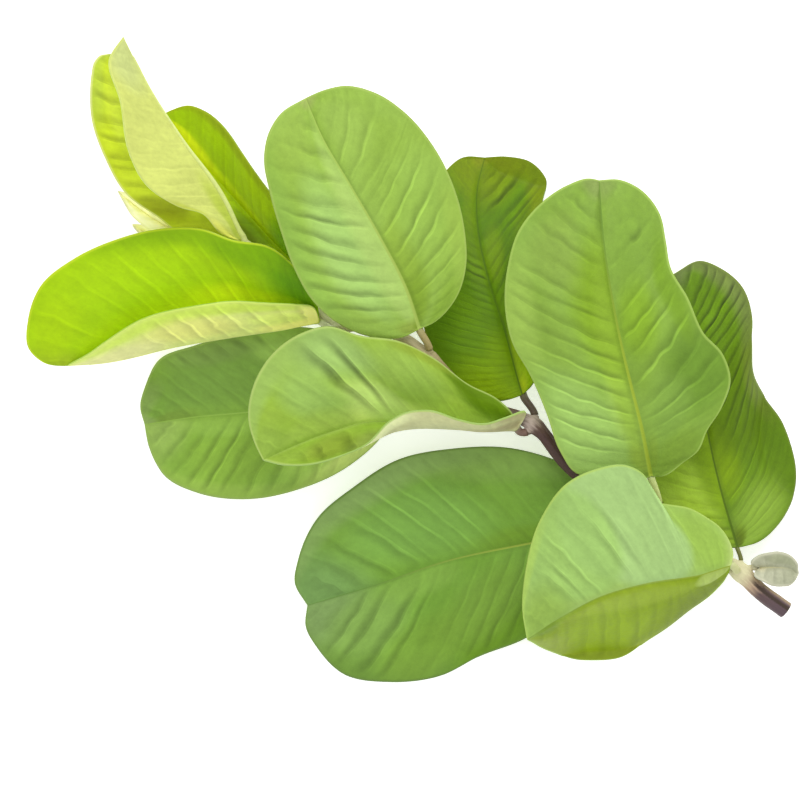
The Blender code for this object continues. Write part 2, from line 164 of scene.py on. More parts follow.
class Wire:
    def __init__(self, tree, socket):
        self.tree = tree
        self.socket = socket

    def node(self, kind, settings, sockets, output=0):
        made = self.tree.nodes.new(kind)
        for name, value in settings.items():
            setattr(made, name, value)
        for name, value in sockets.items():
            if isinstance(value, Wire):
                self.tree.links.new(value.socket, made.inputs[name])
            else:
                made.inputs[name].default_value = value
        return Wire(self.tree, made.outputs[output])

    def maths(self, operation, first, second=0.0):
        return self.node("ShaderNodeMath", {"operation": operation}, {0: first, 1: second})

    def __add__(self, other):
        return self.maths("ADD", self, other)

    def __radd__(self, other):
        return self.maths("ADD", other, self)

    def __sub__(self, other):
        return self.maths("SUBTRACT", self, other)

    def __rsub__(self, other):
        return self.maths("SUBTRACT", other, self)

    def __mul__(self, other):
        return self.maths("MULTIPLY", self, other)

    def __rmul__(self, other):
        return self.maths("MULTIPLY", other, self)

    def __truediv__(self, other):
        return self.maths("DIVIDE", self, other)

    def __pow__(self, other):
        return self.maths("POWER", self, other)

    def __abs__(self):
        return self.maths("ABSOLUTE", self)

    def __gt__(self, other):
        return self.maths("GREATER_THAN", self, other)

    def rise(self, low, high):                           # 0 below low, 1 above high, and smooth between
        ends = {"Value": self, "From Min": low, "From Max": high}
        return self.node("ShaderNodeMapRange", {"interpolation_type": "SMOOTHSTEP"}, ends)

    def mix(self, amount, first, second):                # the first colour at 0 and the second at 1
        return self.node("ShaderNodeMix", {"data_type": "RGBA"}, {0: amount, 6: first, 7: second}, 2)

    def blend(self, other, amount):                      # from this colour to the other one
        return self.mix(amount, self, other)

    def scaled(self, amount):
        return self.node("ShaderNodeVectorMath", {"operation": "SCALE"}, {0: self, 3: amount})

    def times(self, amounts):                            # each part by its own amount
        return self.node("ShaderNodeVectorMath", {"operation": "MULTIPLY"}, {0: self, 1: amounts})

    def vector(self, x, y, z=0.0):
        return self.node("ShaderNodeCombineXYZ", {}, {0: x, 1: y, 2: z})

    def parts(self):                                     # the three numbers of this vector
        apart = self.node("ShaderNodeSeparateXYZ", {}, {0: self}).socket.node
        return [Wire(self.tree, output) for output in apart.outputs]

    def mapped(self, mapName):                           # the two numbers of a UV map
        return self.node("ShaderNodeUVMap", {"uv_map": mapName}, {}).parts()[:2]

    def objectPlace(self):
        return self.node("ShaderNodeTexCoord", {}, {}, 3)

    def into(self, shader, name):
        self.tree.links.new(self.socket, shader.inputs[name])


def colour(text):                                        # "#RRGGBB" as a linear colour
    parts = [int(text[i:i + 2], 16) / 255 for i in (1, 3, 5)]
    return [c / 12.92 if c <= 0.04045 else ((c + 0.055) / 1.055) ** 2.4 for c in parts] + [1]


def newMaterial(name):
    material = bpy.data.materials.new(name)
    material.use_nodes = True
    shader = material.node_tree.nodes["Principled BSDF"]
    return material, shader, Wire(material.node_tree, None)


def clouds(place, scale, detail=2.0, roughness=0.5):
    sockets = {"Vector": place, "Scale": scale, "Detail": detail, "Roughness": roughness}
    return place.node("ShaderNodeTexNoise", {}, sockets)


def noise(place, size, detail=2.0):                      # clouds of about this size, in millimetres
    return clouds(place, 1 / (size * mm), detail)


def bumped(shader, height, strength, depth):             # relief of this depth, in millimetres
    sockets = {"Height": height, "Strength": strength, "Distance": depth * mm}
    height.node("ShaderNodeBump", {}, sockets).into(shader, "Normal")


# The twig, in millimetres: its stem from the cut end to the tip as x, y, height and radius, its swollen
# nodes, and the cushions that the stalks stand on
twig = {
    "stem": ((120, -80.5, 14.5, 2.8), (110, -73, 17, 2.7), (105, -68, 18, 2.5), (91, -60, 20, 2.4),
             (76, -51, 22, 2.4), (60, -42, 22.5, 2.3), (49, -33, 23, 2.2), (39, -21, 24, 2.1),
             (20, -13.6, 25.5, 2.0), (5, 1, 27, 1.9), (-5, 8, 27.5, 1.8), (-15, 11, 28, 1.7),
             (-24, 11, 28, 1.7), (-34, 19, 29.5, 1.5), (-43, 28, 31, 1.4), (-50, 34, 32, 1.3),
             (-50.6, 34.4, 35, 0.5)),
    "nodes": {"first": 2, "second": 4, "third": 7, "fourth": 9, "fifth": 12, "sixth": 15},
    "sides": 32, "swell": 0.28, "swellLength": 2.6,
    "cushionSpread": 1.25, "cushionReach": 1.0, "cushionSteps": 12, "cushionSides": 20,
    "cushionExtra": 0.1, "cushionFoot": 0.45,
    "voxel": 0.28, "smoothing": {"factor": 0.5, "iterations": 6},
    "ridges": 9, "ridgeDepth": 0.05, "ridgeSway": 2, "ridgeSwaySize": 30, "swaySeed": 3,
    "roughTurns": 6, "roughSize": 9, "roughSeed": 4, "corners": 4, "squareness": 0.144,
    "mapRadius": 2, "batches": 60, "cutReach": 3.4, "cutFacing": 0.75,
}

# The stalks and the midribs that go on from them, in millimetres and shares of the stalk's radius
stalk = {
    "lean": 0.6, "sunk": 0.5, "steps": 16, "sides": 16, "foot": 0.35, "footLength": 1.2,
    "ribStart": 3, "ribEnd": 0.95, "ribTaper": 0.8, "ribAtTip": 0.22, "ribDrop": 0.95, "ribAhead": 4,
}


def stalkStart(leaf):                                    # its node, its direction and its cushion's length
    index = twig["nodes"][leaf["node"]]
    stem = np.array(twig["stem"], float)
    node = stem[index, :3]
    along = unit(stem[index + 1, :3] - stem[index - 1, :3])
    toward = unit(np.array([*leaf["base"], leaf["midrib"][0][2]]) - node)
    forward = toward @ along
    out = unit(unit(toward - forward * along) + stalk["lean"] * np.sign(forward) * along)
    if leaf["out"]:
        out = unit(np.array(leaf["out"], float))
    return node, out, twig["cushionSpread"] * stem[index, 3] + twig["cushionReach"]


# What the blades share: lengths in millimetres, shares from 0 to 1
blade = {
    "thickness": 0.5, "marginGrowth": 0.45, "crowding": 1.35, "veinLead": 1.6, "fold": 0.05,
    "ribDepth": 0.35, "ribHollow": 1.5, "slack": 0.35, "slackSize": 34, "slackSeed": 5, "clearance": 0.05,
    "pleatHeight": 0.6, "pleatLean": 0.65, "pleatLeast": 0.6, "pleatSpread": 0.7,
    "pleatSize": 22, "pleatMean": 0.75, "pleatSway": 0.5, "lotPace": 12.9898, "lotSize": 43758.5453,
    "halfWidth": 30, "length": 90, "mapReach": 100,
}

# The side veins: how they waver and bow between the midrib and the margin
vein = {
    "waver": 0.006, "pace": 13.0, "bow": 0.03, "bend": 0.06, "bendSize": 14, "bendSeed": 9,
    "wobble": 0.1, "wobbleSize": 8, "mapMost": 50,
}

# What a leaf has unless its own settings say otherwise
plainLeaf = {
    "rows": 180, "columns": 84, "stalkRadius": 1.05, "arch": (1.2, 1.2), "out": None, "ribShade": None,
    "streaks": 0.1, "underToneAndLightGain": (1.1, 1.1, 1), "underToneAndShadePatches": (),
}

# What the two bud leaves share
budLeaf = {
    "node": "sixth", "slot": "bud_leaf", "rows": 72, "columns": 32, "stalkRadius": 0.55, "arch": (0.3, 0.3),
    "leftVeins": (0.09,), "rightVeins": (0.09,),
    "pleats": 0.1, "rib": "#E4E2AC", "ribTip": "#D9D498", "ribWidth": 0.4, "streaks": 0.08,
    "upper": "#F8F5D6", "mottle": "#F0EDC4", "under": "#EFEEC4", "rim": "#E8E4B8", "stalk": "#E2E0B0",
    "toneAndShadePatches": ((0, 1.02, 1.5, 0.07, "#4A3822", 1),),
    "marks": ((0, 0.5, 1.2, 0.4, 0.12, 0.05, 0.1),),
}

# Each leaf: its place on the twig, then its midrib and margins from base to tip as (along, left, height).
# Side veins of each half: their usual spacing, then the places at the midrib and at the margin of the noted
# ones, from 0 at the base to 1 at the tip. "arch" is how far the left and right halves bulge, "out" the way
# the stalk leaves the stem, "pleats" their depth, "ribWidth" the midrib's half width, "ribShade" the painted
# light and shade beside it on the left and right, and "toneAndLightGain" what the reds, greens and blues
# are multiplied by: partly the leaf's own tone, partly painted light that makes a leaf lying in shade as
# bright as one in the open.
# Patches of colour, partly the leaf's own tone and partly painted sheen, light and shade, are (across from
# -1 left to 1 right, along, reach across, reach along, colour, strength) and, for one with a flat middle,
# the share of it that fades. Marks, where the veins stand out, are (across, along, reach across, reach
# along, pleats in mm, lightness of the ridges, darkness of the painted shade after them).
leaves = {
    "right_back_leaf": {
        "node": "first", "base": (104, -60), "heading": 103, "slot": "dark_leaf", "seed": 1,
        "stalkRadius": 0.6,
        "midrib": ((0, 0, 17), (16, 1, 15), (37, 1, 12), (57, 0, 10), (75, -1, 8), (90, 0, 6)),
        "left": ((2, 7, 16), (11, 15, 15), (22, 21, 15), (39, 22, 14), (56, 18, 13), (73, 13, 11),
                 (86, 7, 8)),
        "right": ((0, -6, 14), (4, -14, 7), (12, -21, 0), (23, -24, -9), (35, -23, -8), (45, -19, 0),
                  (54, -17, 8), (63, -19, 11), (71, -21, 9), (81, -20, 6), (88, -15, 4), (92, -9, 4)),
        "leftVeins": (0.055, (0.23, 0.23), (0.29, 0.29), (0.35, 0.35)),
        "rightVeins": (0.045, (0.12, 0.36), (0.25, 0.5), (0.4, 0.6), (0.58, 0.69), (0.7, 0.745),
                       (0.753, 0.773), (0.785, 0.8), (0.807, 0.827), (0.84, 0.86), (0.867, 0.887),
                       (0.893, 0.91)),
        "pleats": 0.14, "rib": "#4C660C", "ribTip": "#6E8E1E", "ribWidth": 0.7, "ribShade": (0, -0.1),
        "upper": "#67891C", "mottle": "#5F8114", "under": "#9DAE6A", "rim": "#7C8C50", "stalk": "#6A6E24",
        "streaks": 0.16, "toneAndLightGain": (1.04, 1.02, 0.59),
        "toneAndShadePatches": (
            (-0.6, 0.32, 0.7, 0.24, "#A8CA4C", 1), (-0.95, 0.27, 0.36, 0.16, "#B2D45E", 0.9),
            (-0.3, 0.12, 0.4, 0.14, "#84A234", 0.8), (0.45, 0.16, 0.6, 0.22, "#86A648", 0.9),
            (0.1, 0.08, 0.22, 0.14, "#5E7414", 0.95), (-0.08, 0.46, 0.3, 0.26, "#7A9A00", 0.8),
            (0.1, 0.48, 0.3, 0.2, "#7E9C04", 0.7), (0.55, 0.57, 0.65, 0.2, "#587600", 0.9),
            (0.92, 0.62, 0.2, 0.22, "#6C7E34", 0.7), (0.4, 0.88, 0.8, 0.2, "#5E800C", 0.8),
            (-0.4, 0.88, 0.8, 0.2, "#587A08", 0.8), (0.96, 0.88, 0.3, 0.24, "#6C7C4C", 0.9),
            (0.55, 1, 0.9, 0.07, "#6E7E58", 0.9), (-0.55, 1, 0.9, 0.07, "#708058", 0.9),
        ),
        "marks": (
            (0.62, 0.84, 0.62, 0.16, 0.45, 0.56, 0.58), (0.6, 0.6, 0.5, 0.15, 0.16, 0.2, 0.4),
            (0.4, 0.3, 0.5, 0.24, 0.05, 0.14, 0.14), (-0.4, 0.3, 0.5, 0.2, 0.1, 0.16, 0.06),
            (-0.1, 0.1, 0.22, 0.16, 0.08, 0.08, 0.26),
        ),
    },
    "front_leaf": {
        "node": "first", "base": (101.5, -66), "heading": -161, "slot": "green_leaf", "seed": 2,
        "midrib": ((0, 0, 24.5), (10, 0, 29), (27, -3, 34), (41, -4, 35), (56, -2, 29), (69, 1, 20)),
        "left": ((3, 3.6, 20), (7, 5.6, 17), (17, 9.2, 10), (32, 14, 2), (44, 16, -5), (54, 13, -5),
                 (62, 8, 3)),
        "right": ((-2, -3.5, 24.5), (-2.2, -8, 25.5), (-0.8, -12.8, 27), (2, -16.8, 28.5), (7, -22, 31),
                  (13, -25.2, 33), (16, -27, 36), (16.2, -32, 38.5), (17, -37, 41), (21, -41, 42),
                  (30, -43, 41), (40, -42, 39), (52, -34, 35), (62, -20, 29), (67, -8, 23)),
        "leftVeins": (0.07, (0.37, 0.18), (0.42, 0.27), (0.45, 0.353), (0.66, 0.56), (0.7, 0.6),
                      (0.77, 0.667), (0.85, 0.747), (0.9, 0.8)),
        "rightVeins": (0.06, (0.3, 0.32), (0.525, 0.548), (0.58, 0.585), (0.632, 0.642), (0.7, 0.7),
                       (0.75, 0.75), (0.785, 0.795)),
        "pleats": 0.12, "rib": "#98AC3C", "ribTip": "#86A23C", "ribWidth": 0.4, "ribShade": (-0.1, 0),
        "upper": "#A9CD7C", "mottle": "#A3C86C", "under": "#B9C890", "rim": "#BCDC7A", "stalk": "#C9C98A",
        "toneAndLightGain": (0.92, 0.88, 0.62),
        # Painted sheen: the pale bluish colours on the right half of this leaf
        "toneAndShadePatches": (
            (-0.5, 0.52, 0.75, 0.66, "#8AA600", 1, 0.6), (-0.5, 0.42, 0.6, 0.4, "#86A200", 0.9),
            (-0.45, 0.64, 0.5, 0.24, "#92B200", 0.9), (-0.6, 0.24, 0.52, 0.2, "#7A9214", 0.9),
            (-0.96, 0.6, 0.16, 0.22, "#A2B83E", 0.7), (-0.11, 0.15, 0.18, 0.18, "#B4CE74", 1, 0.4),
            (-0.12, 0.56, 0.18, 0.34, "#A4C040", 0.7), (-0.85, 0.86, 0.4, 0.14, "#96AE34", 0.7),
            (-0.14, 0.92, 0.3, 0.08, "#7C9E2C", 0.8), (0.4, 0.03, 0.9, 0.1, "#D2E8A4", 0.95),
            (0.45, 0.18, 0.7, 0.2, "#A2C860", 0.9), (0.5, 0.48, 0.6, 0.24, "#B0D69C", 0.8, 0.35),
            (0.6, 0.7, 0.6, 0.18, "#A2CB7C", 0.8, 0.35), (0.3, 0.9, 0.7, 0.14, "#98BC5E", 0.9),
            (0.97, 0.84, 0.14, 0.2, "#B4D874", 0.8),
        ),
        "marks": (
            (-0.52, 0.66, 0.55, 0.4, 0.12, 0.03, 0.12), (0.38, 0.55, 0.34, 0.09, 0.16, 0.04, 0.2),
            (0.42, 0.79, 0.42, 0.08, 0.2, 0.04, 0.2), (0.45, 0.68, 0.5, 0.2, 0.1, 0.1, 0.08),
            (0.75, 0.34, 0.2, 0.06, 0.12, 0.05, 0.18),
        ),
    },
    "grey_leaf": {
        "node": "first", "base": (110.8, -66.6), "heading": -4, "slot": "grey_leaf", "seed": 3,
        "rows": 48, "columns": 32, "stalkRadius": 0.8, "arch": (0.4, 0.4),
        "midrib": ((0, 0, 18), (4.5, 0.5, 18), (9, 0.5, 17), (12.8, -1, 14)),
        "left": ((-2.6, 1.7, 20.3), (0.4, 4.1, 20.6), (3.5, 5, 20.6), (7, 5.2, 20.3), (10, 4.2, 18.5),
                 (12, 2.2, 16.5)),
        "right": ((-1.2, -2.4, 21), (1.6, -4, 20.6), (4.8, -5, 19), (7.5, -5, 17.4), (10, -4.6, 16),
                  (12, -2.8, 15)),
        "leftVeins": (0.16,),
        "rightVeins": (0.16,),
        "pleats": 0.12, "rib": "#B9B98E", "ribTip": "#A9AE90", "ribWidth": 0.5,
        "upper": "#B4B89E", "mottle": "#A0A688", "under": "#B4B69C", "rim": "#C6C8AE", "stalk": "#CFC9A0",
        "streaks": 0.12, "toneAndLightGain": (1.2, 1.13, 1.1),
        "toneAndShadePatches": (
            (0.1, 0.1, 0.6, 0.3, "#D6D4B0", 0.8), (-0.6, 0.6, 0.4, 0.3, "#8E9672", 0.6),
        ),
        "marks": ((0.5, 0.5, 0.5, 0.4, 0.2, 0.05, 0.2),),
    },
    "right_leaf": {
        "node": "second", "base": (76.1, -37.1), "heading": 100, "slot": "green_leaf", "seed": 4,
        "out": (0.55, 0.75, 0.35),
        "midrib": ((0, 0, 27.5), (8, 0, 29), (27, 1, 32), (48, 2, 34), (74, 2, 33), (96, 0, 28)),
        "left": ((-0.5, 4, 28), (3, 16, 30), (5, 23, 31), (13, 27, 32), (25, 29, 33), (38, 32, 34),
                 (50, 36, 35), (63, 36, 35), (74, 33, 35), (84, 28, 34), (92, 19, 32), (96, 10, 30),
                 (97, 3, 29)),
        "right": ((-0.5, -4.4, 28), (2.3, -10.5, 29), (5.2, -16, 31), (11, -19.8, 33), (18, -26, 35),
                  (26, -30, 35), (34, -29, 36), (42, -24, 39), (54, -21, 40), (64, -17.4, 38),
                  (73, -17.4, 34), (82, -17, 31), (91, -12, 28), (95, -6, 27)),
        "leftVeins": (0.052, (0.15, 0.22), (0.2, 0.28), (0.26, 0.33), (0.333, 0.36), (0.37, 0.415),
                      (0.587, 0.627), (0.657, 0.657), (0.687, 0.707), (0.8, 0.81), (0.85, 0.86)),
        "rightVeins": (0.055, (0.3, 0.35), (0.34, 0.41), (0.38, 0.48), (0.467, 0.54), (0.543, 0.61),
                       (0.61, 0.635), (0.8, 0.825)),
        "pleats": 0.1, "rib": "#AABF3C", "ribTip": "#6F9438", "ribWidth": 0.94, "ribShade": (-0.14, 0),
        "upper": "#8FB44E", "mottle": "#88AD42", "under": "#A9BC78", "rim": "#B6D670", "stalk": "#C3CC78",
        "toneAndLightGain": (0.91, 0.88, 0.74),
        "toneAndShadePatches": (
            (-0.65, 0.27, 0.6, 0.24, "#A2C86E", 0.9), (-0.1, 0.68, 0.44, 0.26, "#84A922", 0.95),
            (-0.12, 0.36, 0.22, 0.18, "#A8CC64", 0.8), (-0.1, 0.5, 0.18, 0.4, "#94B83A", 0.7),
            (-0.7, 0.56, 0.4, 0.12, "#86A842", 0.7), (-0.92, 0.58, 0.24, 0.19, "#A2C45C", 0.7),
            (-0.6, 0.77, 0.36, 0.13, "#8EAC4C", 0.6), (0.74, 0.4, 0.48, 0.18, "#739A36", 0.95),
            (0.35, 0.35, 0.3, 0.15, "#82A74A", 0.7), (0.55, 0.11, 0.6, 0.15, "#84A63C", 0.8),
            (0.85, 0.64, 0.18, 0.19, "#7EA628", 0.8), (0.3, 0.64, 0.4, 0.14, "#88B028", 0.8),
            (-0.1, 0.03, 0.24, 0.08, "#7A9A2C", 0.9), (-0.1, 0.16, 0.2, 0.12, "#94B240", 0.8),
            (0.5, 0.8, 0.6, 0.14, "#84AA40", 0.8), (0.5, 0.99, 0.9, 0.06, "#8CA556", 0.8),
            (-0.5, 0.99, 0.9, 0.06, "#93A862", 0.8), (0.1, 0.18, 0.12, 0.12, "#8FAC3C", 0.5),
            (-0.06, 0.92, 0.16, 0.08, "#789A38", 0.7),
        ),
        "marks": (
            (-0.62, 0.27, 0.5, 0.13, 0.18, 0.32, 0.18), (-0.5, 0.42, 0.6, 0.16, 0.12, 0.34, 0.1),
            (-0.6, 0.65, 0.5, 0.13, 0.2, 0.08, 0.24), (-0.45, 0.84, 0.55, 0.11, 0.12, 0.1, 0.2),
            (0.55, 0.44, 0.58, 0.2, 0.15, 0.44, 0.18), (0.45, 0.61, 0.5, 0.12, 0.12, 0.2, 0.12),
            (0.55, 0.825, 0.14, 0.04, 0.12, 0, 0.32), (-0.2, 0.55, 0.24, 0.24, 0.08, 0.14, 0.2),
        ),
    },
    "lower_leaf": {
        "node": "second", "base": (69, -53), "heading": -166, "slot": "dark_leaf", "seed": 5,
        "midrib": ((0, 0, 19), (16, -1, 17), (32, -2, 14), (58, -3, 9), (82, -1, 5), (106, 0, 2)),
        "left": ((8, 8, 17), (22, 19, 13), (41, 27, 7), (56, 29, 1), (70, 32, -4), (86, 30, -5),
                 (100, 24, -4), (106, 14, -1), (108, 6, 1)),
        "right": ((1, -9, 19), (8, -18, 18), (18, -26, 16), (31, -33, 14), (48, -37, 12), (66, -38, 11),
                  (82, -33, 9), (96, -26, 7), (105, -15, 5), (108, -8, 4)),
        "leftVeins": (0.052, (0.457, 0.457), (0.705, 0.725), (0.74, 0.775), (0.818, 0.828), (0.865, 0.865)),
        "rightVeins": (0.058, (0.557, 0.575), (0.6, 0.635), (0.657, 0.68), (0.72, 0.72), (0.745, 0.762),
                       (0.81, 0.827), (0.915, 0.915)),
        "pleats": 0.08, "rib": "#9FB04A", "ribTip": "#668A42", "ribWidth": 0.75, "ribShade": (-0.12, 0),
        "upper": "#7AA244", "mottle": "#739C3A", "under": "#9DB36C", "rim": "#76934E", "stalk": "#A6AE5C",
        "toneAndLightGain": (1, 1, 0.8),
        "toneAndShadePatches": (
            (0.5, 0.96, 1.1, 0.16, "#769A5A", 0.95), (-0.5, 0.97, 1.1, 0.16, "#809C62", 0.95),
            (-0.5, 0.82, 0.6, 0.12, "#7FA052", 0.8), (-0.8, 0.44, 0.45, 0.18, "#658B18", 0.9),
            (-0.98, 0.72, 0.3, 0.22, "#6A8C3A", 0.9), (-0.5, 0.52, 0.5, 0.16, "#76993A", 0.8),
            (0.06, 0.46, 0.16, 0.22, "#74982E", 0.8), (-0.12, 0.74, 0.2, 0.12, "#86AC4E", 0.7),
            (0.45, 0.66, 0.5, 0.22, "#7CA750", 0.8), (0.92, 0.38, 0.36, 0.24, "#88AA58", 0.9),
            (0.98, 0.66, 0.26, 0.36, "#8EAC6A", 0.9), (-0.75, 0.66, 0.4, 0.12, "#7B9E3A", 0.6),
        ),
        "marks": (
            (-0.6, 0.76, 0.52, 0.11, 0.2, 0.06, 0.24), (-0.5, 0.85, 0.55, 0.08, 0.12, 0.04, 0.18),
            (-0.4, 0.48, 0.6, 0.16, 0.05, 0.16, 0.08), (0.45, 0.66, 0.55, 0.18, 0.05, 0.24, 0.04),
            (0.35, 0.8, 0.5, 0.12, 0.12, 0.08, 0.2), (0.3, 0.92, 0.5, 0.06, 0.12, 0, 0.18),
            (-0.8, 0.44, 0.3, 0.14, 0.04, 0.06, 0.16),
        ),
    },
    "upper_back_leaf": {
        "node": "third", "base": (35, -11), "heading": 99, "slot": "dark_leaf", "seed": 6,
        "midrib": ((0, 0, 22), (20, 2, 20), (38, 5, 16), (54, 6, 11), (67, 4, 5), (77, 0, 0)),
        "left": ((-1, 6, 20.5), (2, 17, 18.5), (10, 24, 18), (22, 27, 17), (36, 27, 14), (52, 23, 11),
                 (66, 18, 7), (75, 12, 3), (78, 6, 0)),
        "right": ((3, -4, 22), (16, -7, 20), (32, -9, 17), (48, -12, 13), (60, -16, 5), (67, -18, -2),
                  (73, -14, -4), (76, -7, -3)),
        "leftVeins": (0.031, (0.253, 0.307), (0.32, 0.373), (0.41, 0.455), (0.43, 0.485)),
        "rightVeins": (0.045, (0.45, 0.55), (0.6, 0.68), (0.74, 0.785), (0.8, 0.84)),
        "pleats": 0.14, "rib": "#4E6E0A", "ribTip": "#4A6806", "ribWidth": 0.45, "ribShade": (-0.05, -0.2),
        "upper": "#5F840C", "mottle": "#567C06", "under": "#93A564", "rim": "#78894C", "stalk": "#5C4A38",
        "streaks": 0.14, "toneAndLightGain": (1.06, 1.04, 0.04),
        "toneAndShadePatches": (
            (-0.45, 0.12, 0.7, 0.24, "#86A810", 0.95), (0.35, 0.1, 0.7, 0.26, "#A2C448", 0.95),
            (0.14, 0.06, 0.36, 0.14, "#B4CC58", 1), (0.2, 0.3, 0.26, 0.18, "#98B828", 0.9),
            (-0.1, 0.28, 0.3, 0.18, "#7A9C0E", 0.8), (-0.15, 0.7, 0.4, 0.16, "#64840A", 0.8),
            (-0.6, 0.66, 0.36, 0.14, "#466400", 0.95), (0.38, 0.62, 0.34, 0.1, "#527404", 0.8),
            (0.16, 0.67, 0.2, 0.12, "#708E08", 0.8), (0.45, 0.93, 0.7, 0.16, "#70860E", 0.9),
            (-0.2, 0.84, 0.24, 0.1, "#6E8C10", 0.7), (-0.6, 0.96, 0.9, 0.14, "#768A2E", 0.9),
            (0.92, 0.72, 0.3, 0.16, "#768A56", 0.95), (0.9, 0.92, 0.4, 0.14, "#7C8C44", 0.8),
            (0.55, 1, 0.9, 0.05, "#7E8A50", 0.8), (-0.6, 1, 0.9, 0.06, "#808C5C", 0.9),
            (0.65, 0.68, 0.2, 0.1, "#5E7C24", 0.8),
        ),
        "marks": (
            (0.55, 0.77, 0.42, 0.11, 0.25, 0.06, 0.5), (0.4, 0.86, 0.36, 0.08, 0.15, 0.04, 0.34),
            (-0.45, 0.36, 0.5, 0.24, 0.08, 0.28, 0.14), (0.25, 0.52, 0.45, 0.2, 0.1, 0.14, 0.14),
            (0.1, 0.68, 0.3, 0.16, 0.1, 0.08, 0.16), (-0.16, 0.6, 0.26, 0.14, 0.08, 0.1, 0.36),
        ),
    },
    "centre_leaf": {
        "node": "third", "base": (33.2, -22.3), "heading": -174, "slot": "green_leaf", "seed": 7,
        "arch": (-1.5, 2), "out": (-0.8, -0.6, 0.15),
        "midrib": ((0, 0, 25), (5.7, -0.2, 23), (18.7, -1.9, 21), (30.8, -3.9, 21), (44.8, -6.9, 22),
                   (59.8, -4.9, 25), (81.8, 1.1, 30)),
        "left": ((-3.2, -5.4, 31), (2.8, -3.9, 35), (9.8, -2.9, 38), (17.8, -4.9, 41), (27.8, -8.9, 43),
                 (34.8, -8.9, 43), (39.8, -6.9, 42), (47.8, -0.9, 40), (55.8, 2.1, 38), (66.8, 4.1, 35),
                 (75.8, 3.1, 32)),
        "right": ((0.8, -4.9, 28), (4.8, -9.9, 29), (13.8, -15.9, 31), (24.8, -25.9, 34),
                  (34.8, -31.9, 37), (46.8, -34.9, 39), (56.8, -38.9, 41), (66.8, -36.9, 41),
                  (76.8, -29.9, 39), (82.8, -20.9, 37), (84.8, -11.9, 34), (83.8, -4.9, 32)),
        "leftVeins": (0.07, (0.765, 0.692), (0.86, 0.785), (0.92, 0.845)),
        "rightVeins": (0.06, (0.585, 0.585), (0.63, 0.65), (0.72, 0.73)),
        "pleats": 0.08, "rib": "#9EBA54", "ribTip": "#A0BE5C", "ribWidth": 0.25,
        "upper": "#96B944", "mottle": "#8FB43C", "under": "#C6C79C", "rim": "#AFC970", "stalk": "#76584A",
        "toneAndLightGain": (1.16, 1.07, 1.02), "underToneAndLightGain": (1.2, 1.17, 0.98),
        # Painted light: the bright yellow-green colours by the midrib, where the curled blade lies in its
        # own shade
        "toneAndShadePatches": (
            (0.75, 0.14, 0.6, 0.16, "#6B9110", 1), (0.9, 0.21, 0.22, 0.1, "#62860C", 0.9),
            (0.6, 0.02, 0.5, 0.07, "#5A6420", 0.9), (0.12, 0.46, 0.26, 0.44, "#DDF68A", 0.95),
            (0.3, 0.34, 0.26, 0.18, "#BCDE5A", 0.8), (0.6, 0.44, 0.44, 0.16, "#94B852", 0.8),
            (0.25, 0.6, 0.36, 0.12, "#C4E484", 0.8), (0.8, 0.6, 0.36, 0.14, "#94B866", 0.9),
            (0.5, 0.74, 0.5, 0.1, "#96BC60", 0.8), (-0.6, 0.66, 0.5, 0.12, "#8CA24C", 0.9),
            (-0.5, 0.8, 0.56, 0.12, "#829A36", 0.95), (0.5, 0.97, 0.9, 0.12, "#8CAE46", 0.9),
            (-0.5, 0.97, 0.9, 0.12, "#8CAC40", 0.9), (0.14, 0.82, 0.3, 0.14, "#9CBE50", 0.8),
            (0.96, 0.8, 0.2, 0.2, "#98BC60", 0.8), (0.95, 0.32, 0.14, 0.12, "#8CA634", 0.8),
        ),
        "underToneAndShadePatches": (
            (-0.4, 0.16, 0.4, 0.22, "#A89C78", 0.8), (-0.95, 0.6, 0.3, 0.16, "#EAF0C0", 0.9),
            (-0.95, 0.12, 0.3, 0.1, "#B4AC84", 0.8),
        ),
        "marks": (
            (0.55, 0.62, 0.45, 0.085, 0.3, 0.1, 0.68), (-0.62, 0.76, 0.48, 0.17, 0.12, 0.06, 0.3),
            (0.45, 0.8, 0.55, 0.16, 0.06, 0.06, 0.08), (0.6, 0.48, 0.4, 0.12, 0.06, 0.06, 0.06),
        ),
    },
    "upper_leaf": {
        "node": "fourth", "base": (2, 10), "heading": 117, "slot": "green_leaf", "seed": 8,
        "midrib": ((0, 0, 32), (12, -2, 36), (31, -2, 41), (50, -1, 45), (68, 0, 47), (82, -1, 46)),
        "left": ((0, 5, 33), (5, 15, 36), (14, 22.5, 39), (24, 26, 42), (35, 26.5, 45), (47, 25, 48),
                 (60, 22.5, 50), (71, 19, 51), (77, 14.5, 50), (81, 8, 48)),
        "right": ((0, -6, 33), (4, -15.5, 36), (11, -22, 39), (22, -27, 42), (36, -30, 45), (50, -30, 47),
                  (63, -27, 48), (73, -21.5, 48), (79.5, -14, 48), (81.5, -7, 47)),
        "leftVeins": (0.07, (0.205, 0.32), (0.285, 0.4), (0.355, 0.47), (0.43, 0.54), (0.5, 0.59),
                      (0.59, 0.63), (0.65, 0.67), (0.74, 0.755), (0.825, 0.83)),
        "rightVeins": (0.062, (0.2, 0.235), (0.255, 0.3), (0.33, 0.36), (0.39, 0.47), (0.46, 0.54),
                       (0.545, 0.61), (0.61, 0.65), (0.65, 0.68), (0.69, 0.7), (0.8, 0.88)),
        "pleats": 0.12, "rib": "#B4CC66", "ribTip": "#B2CE66", "ribWidth": 0.8, "ribShade": (0.06, -0.14),
        "upper": "#9DC154", "mottle": "#98BC4C", "under": "#B0C283", "rim": "#B2CE6A", "stalk": "#A4945A",
        "toneAndLightGain": (0.93, 0.9, 0.8),
        "toneAndShadePatches": (
            (-0.42, 0.48, 0.4, 0.36, "#A7CC72", 0.95), (-0.1, 0.5, 0.24, 0.56, "#B6D678", 0.85),
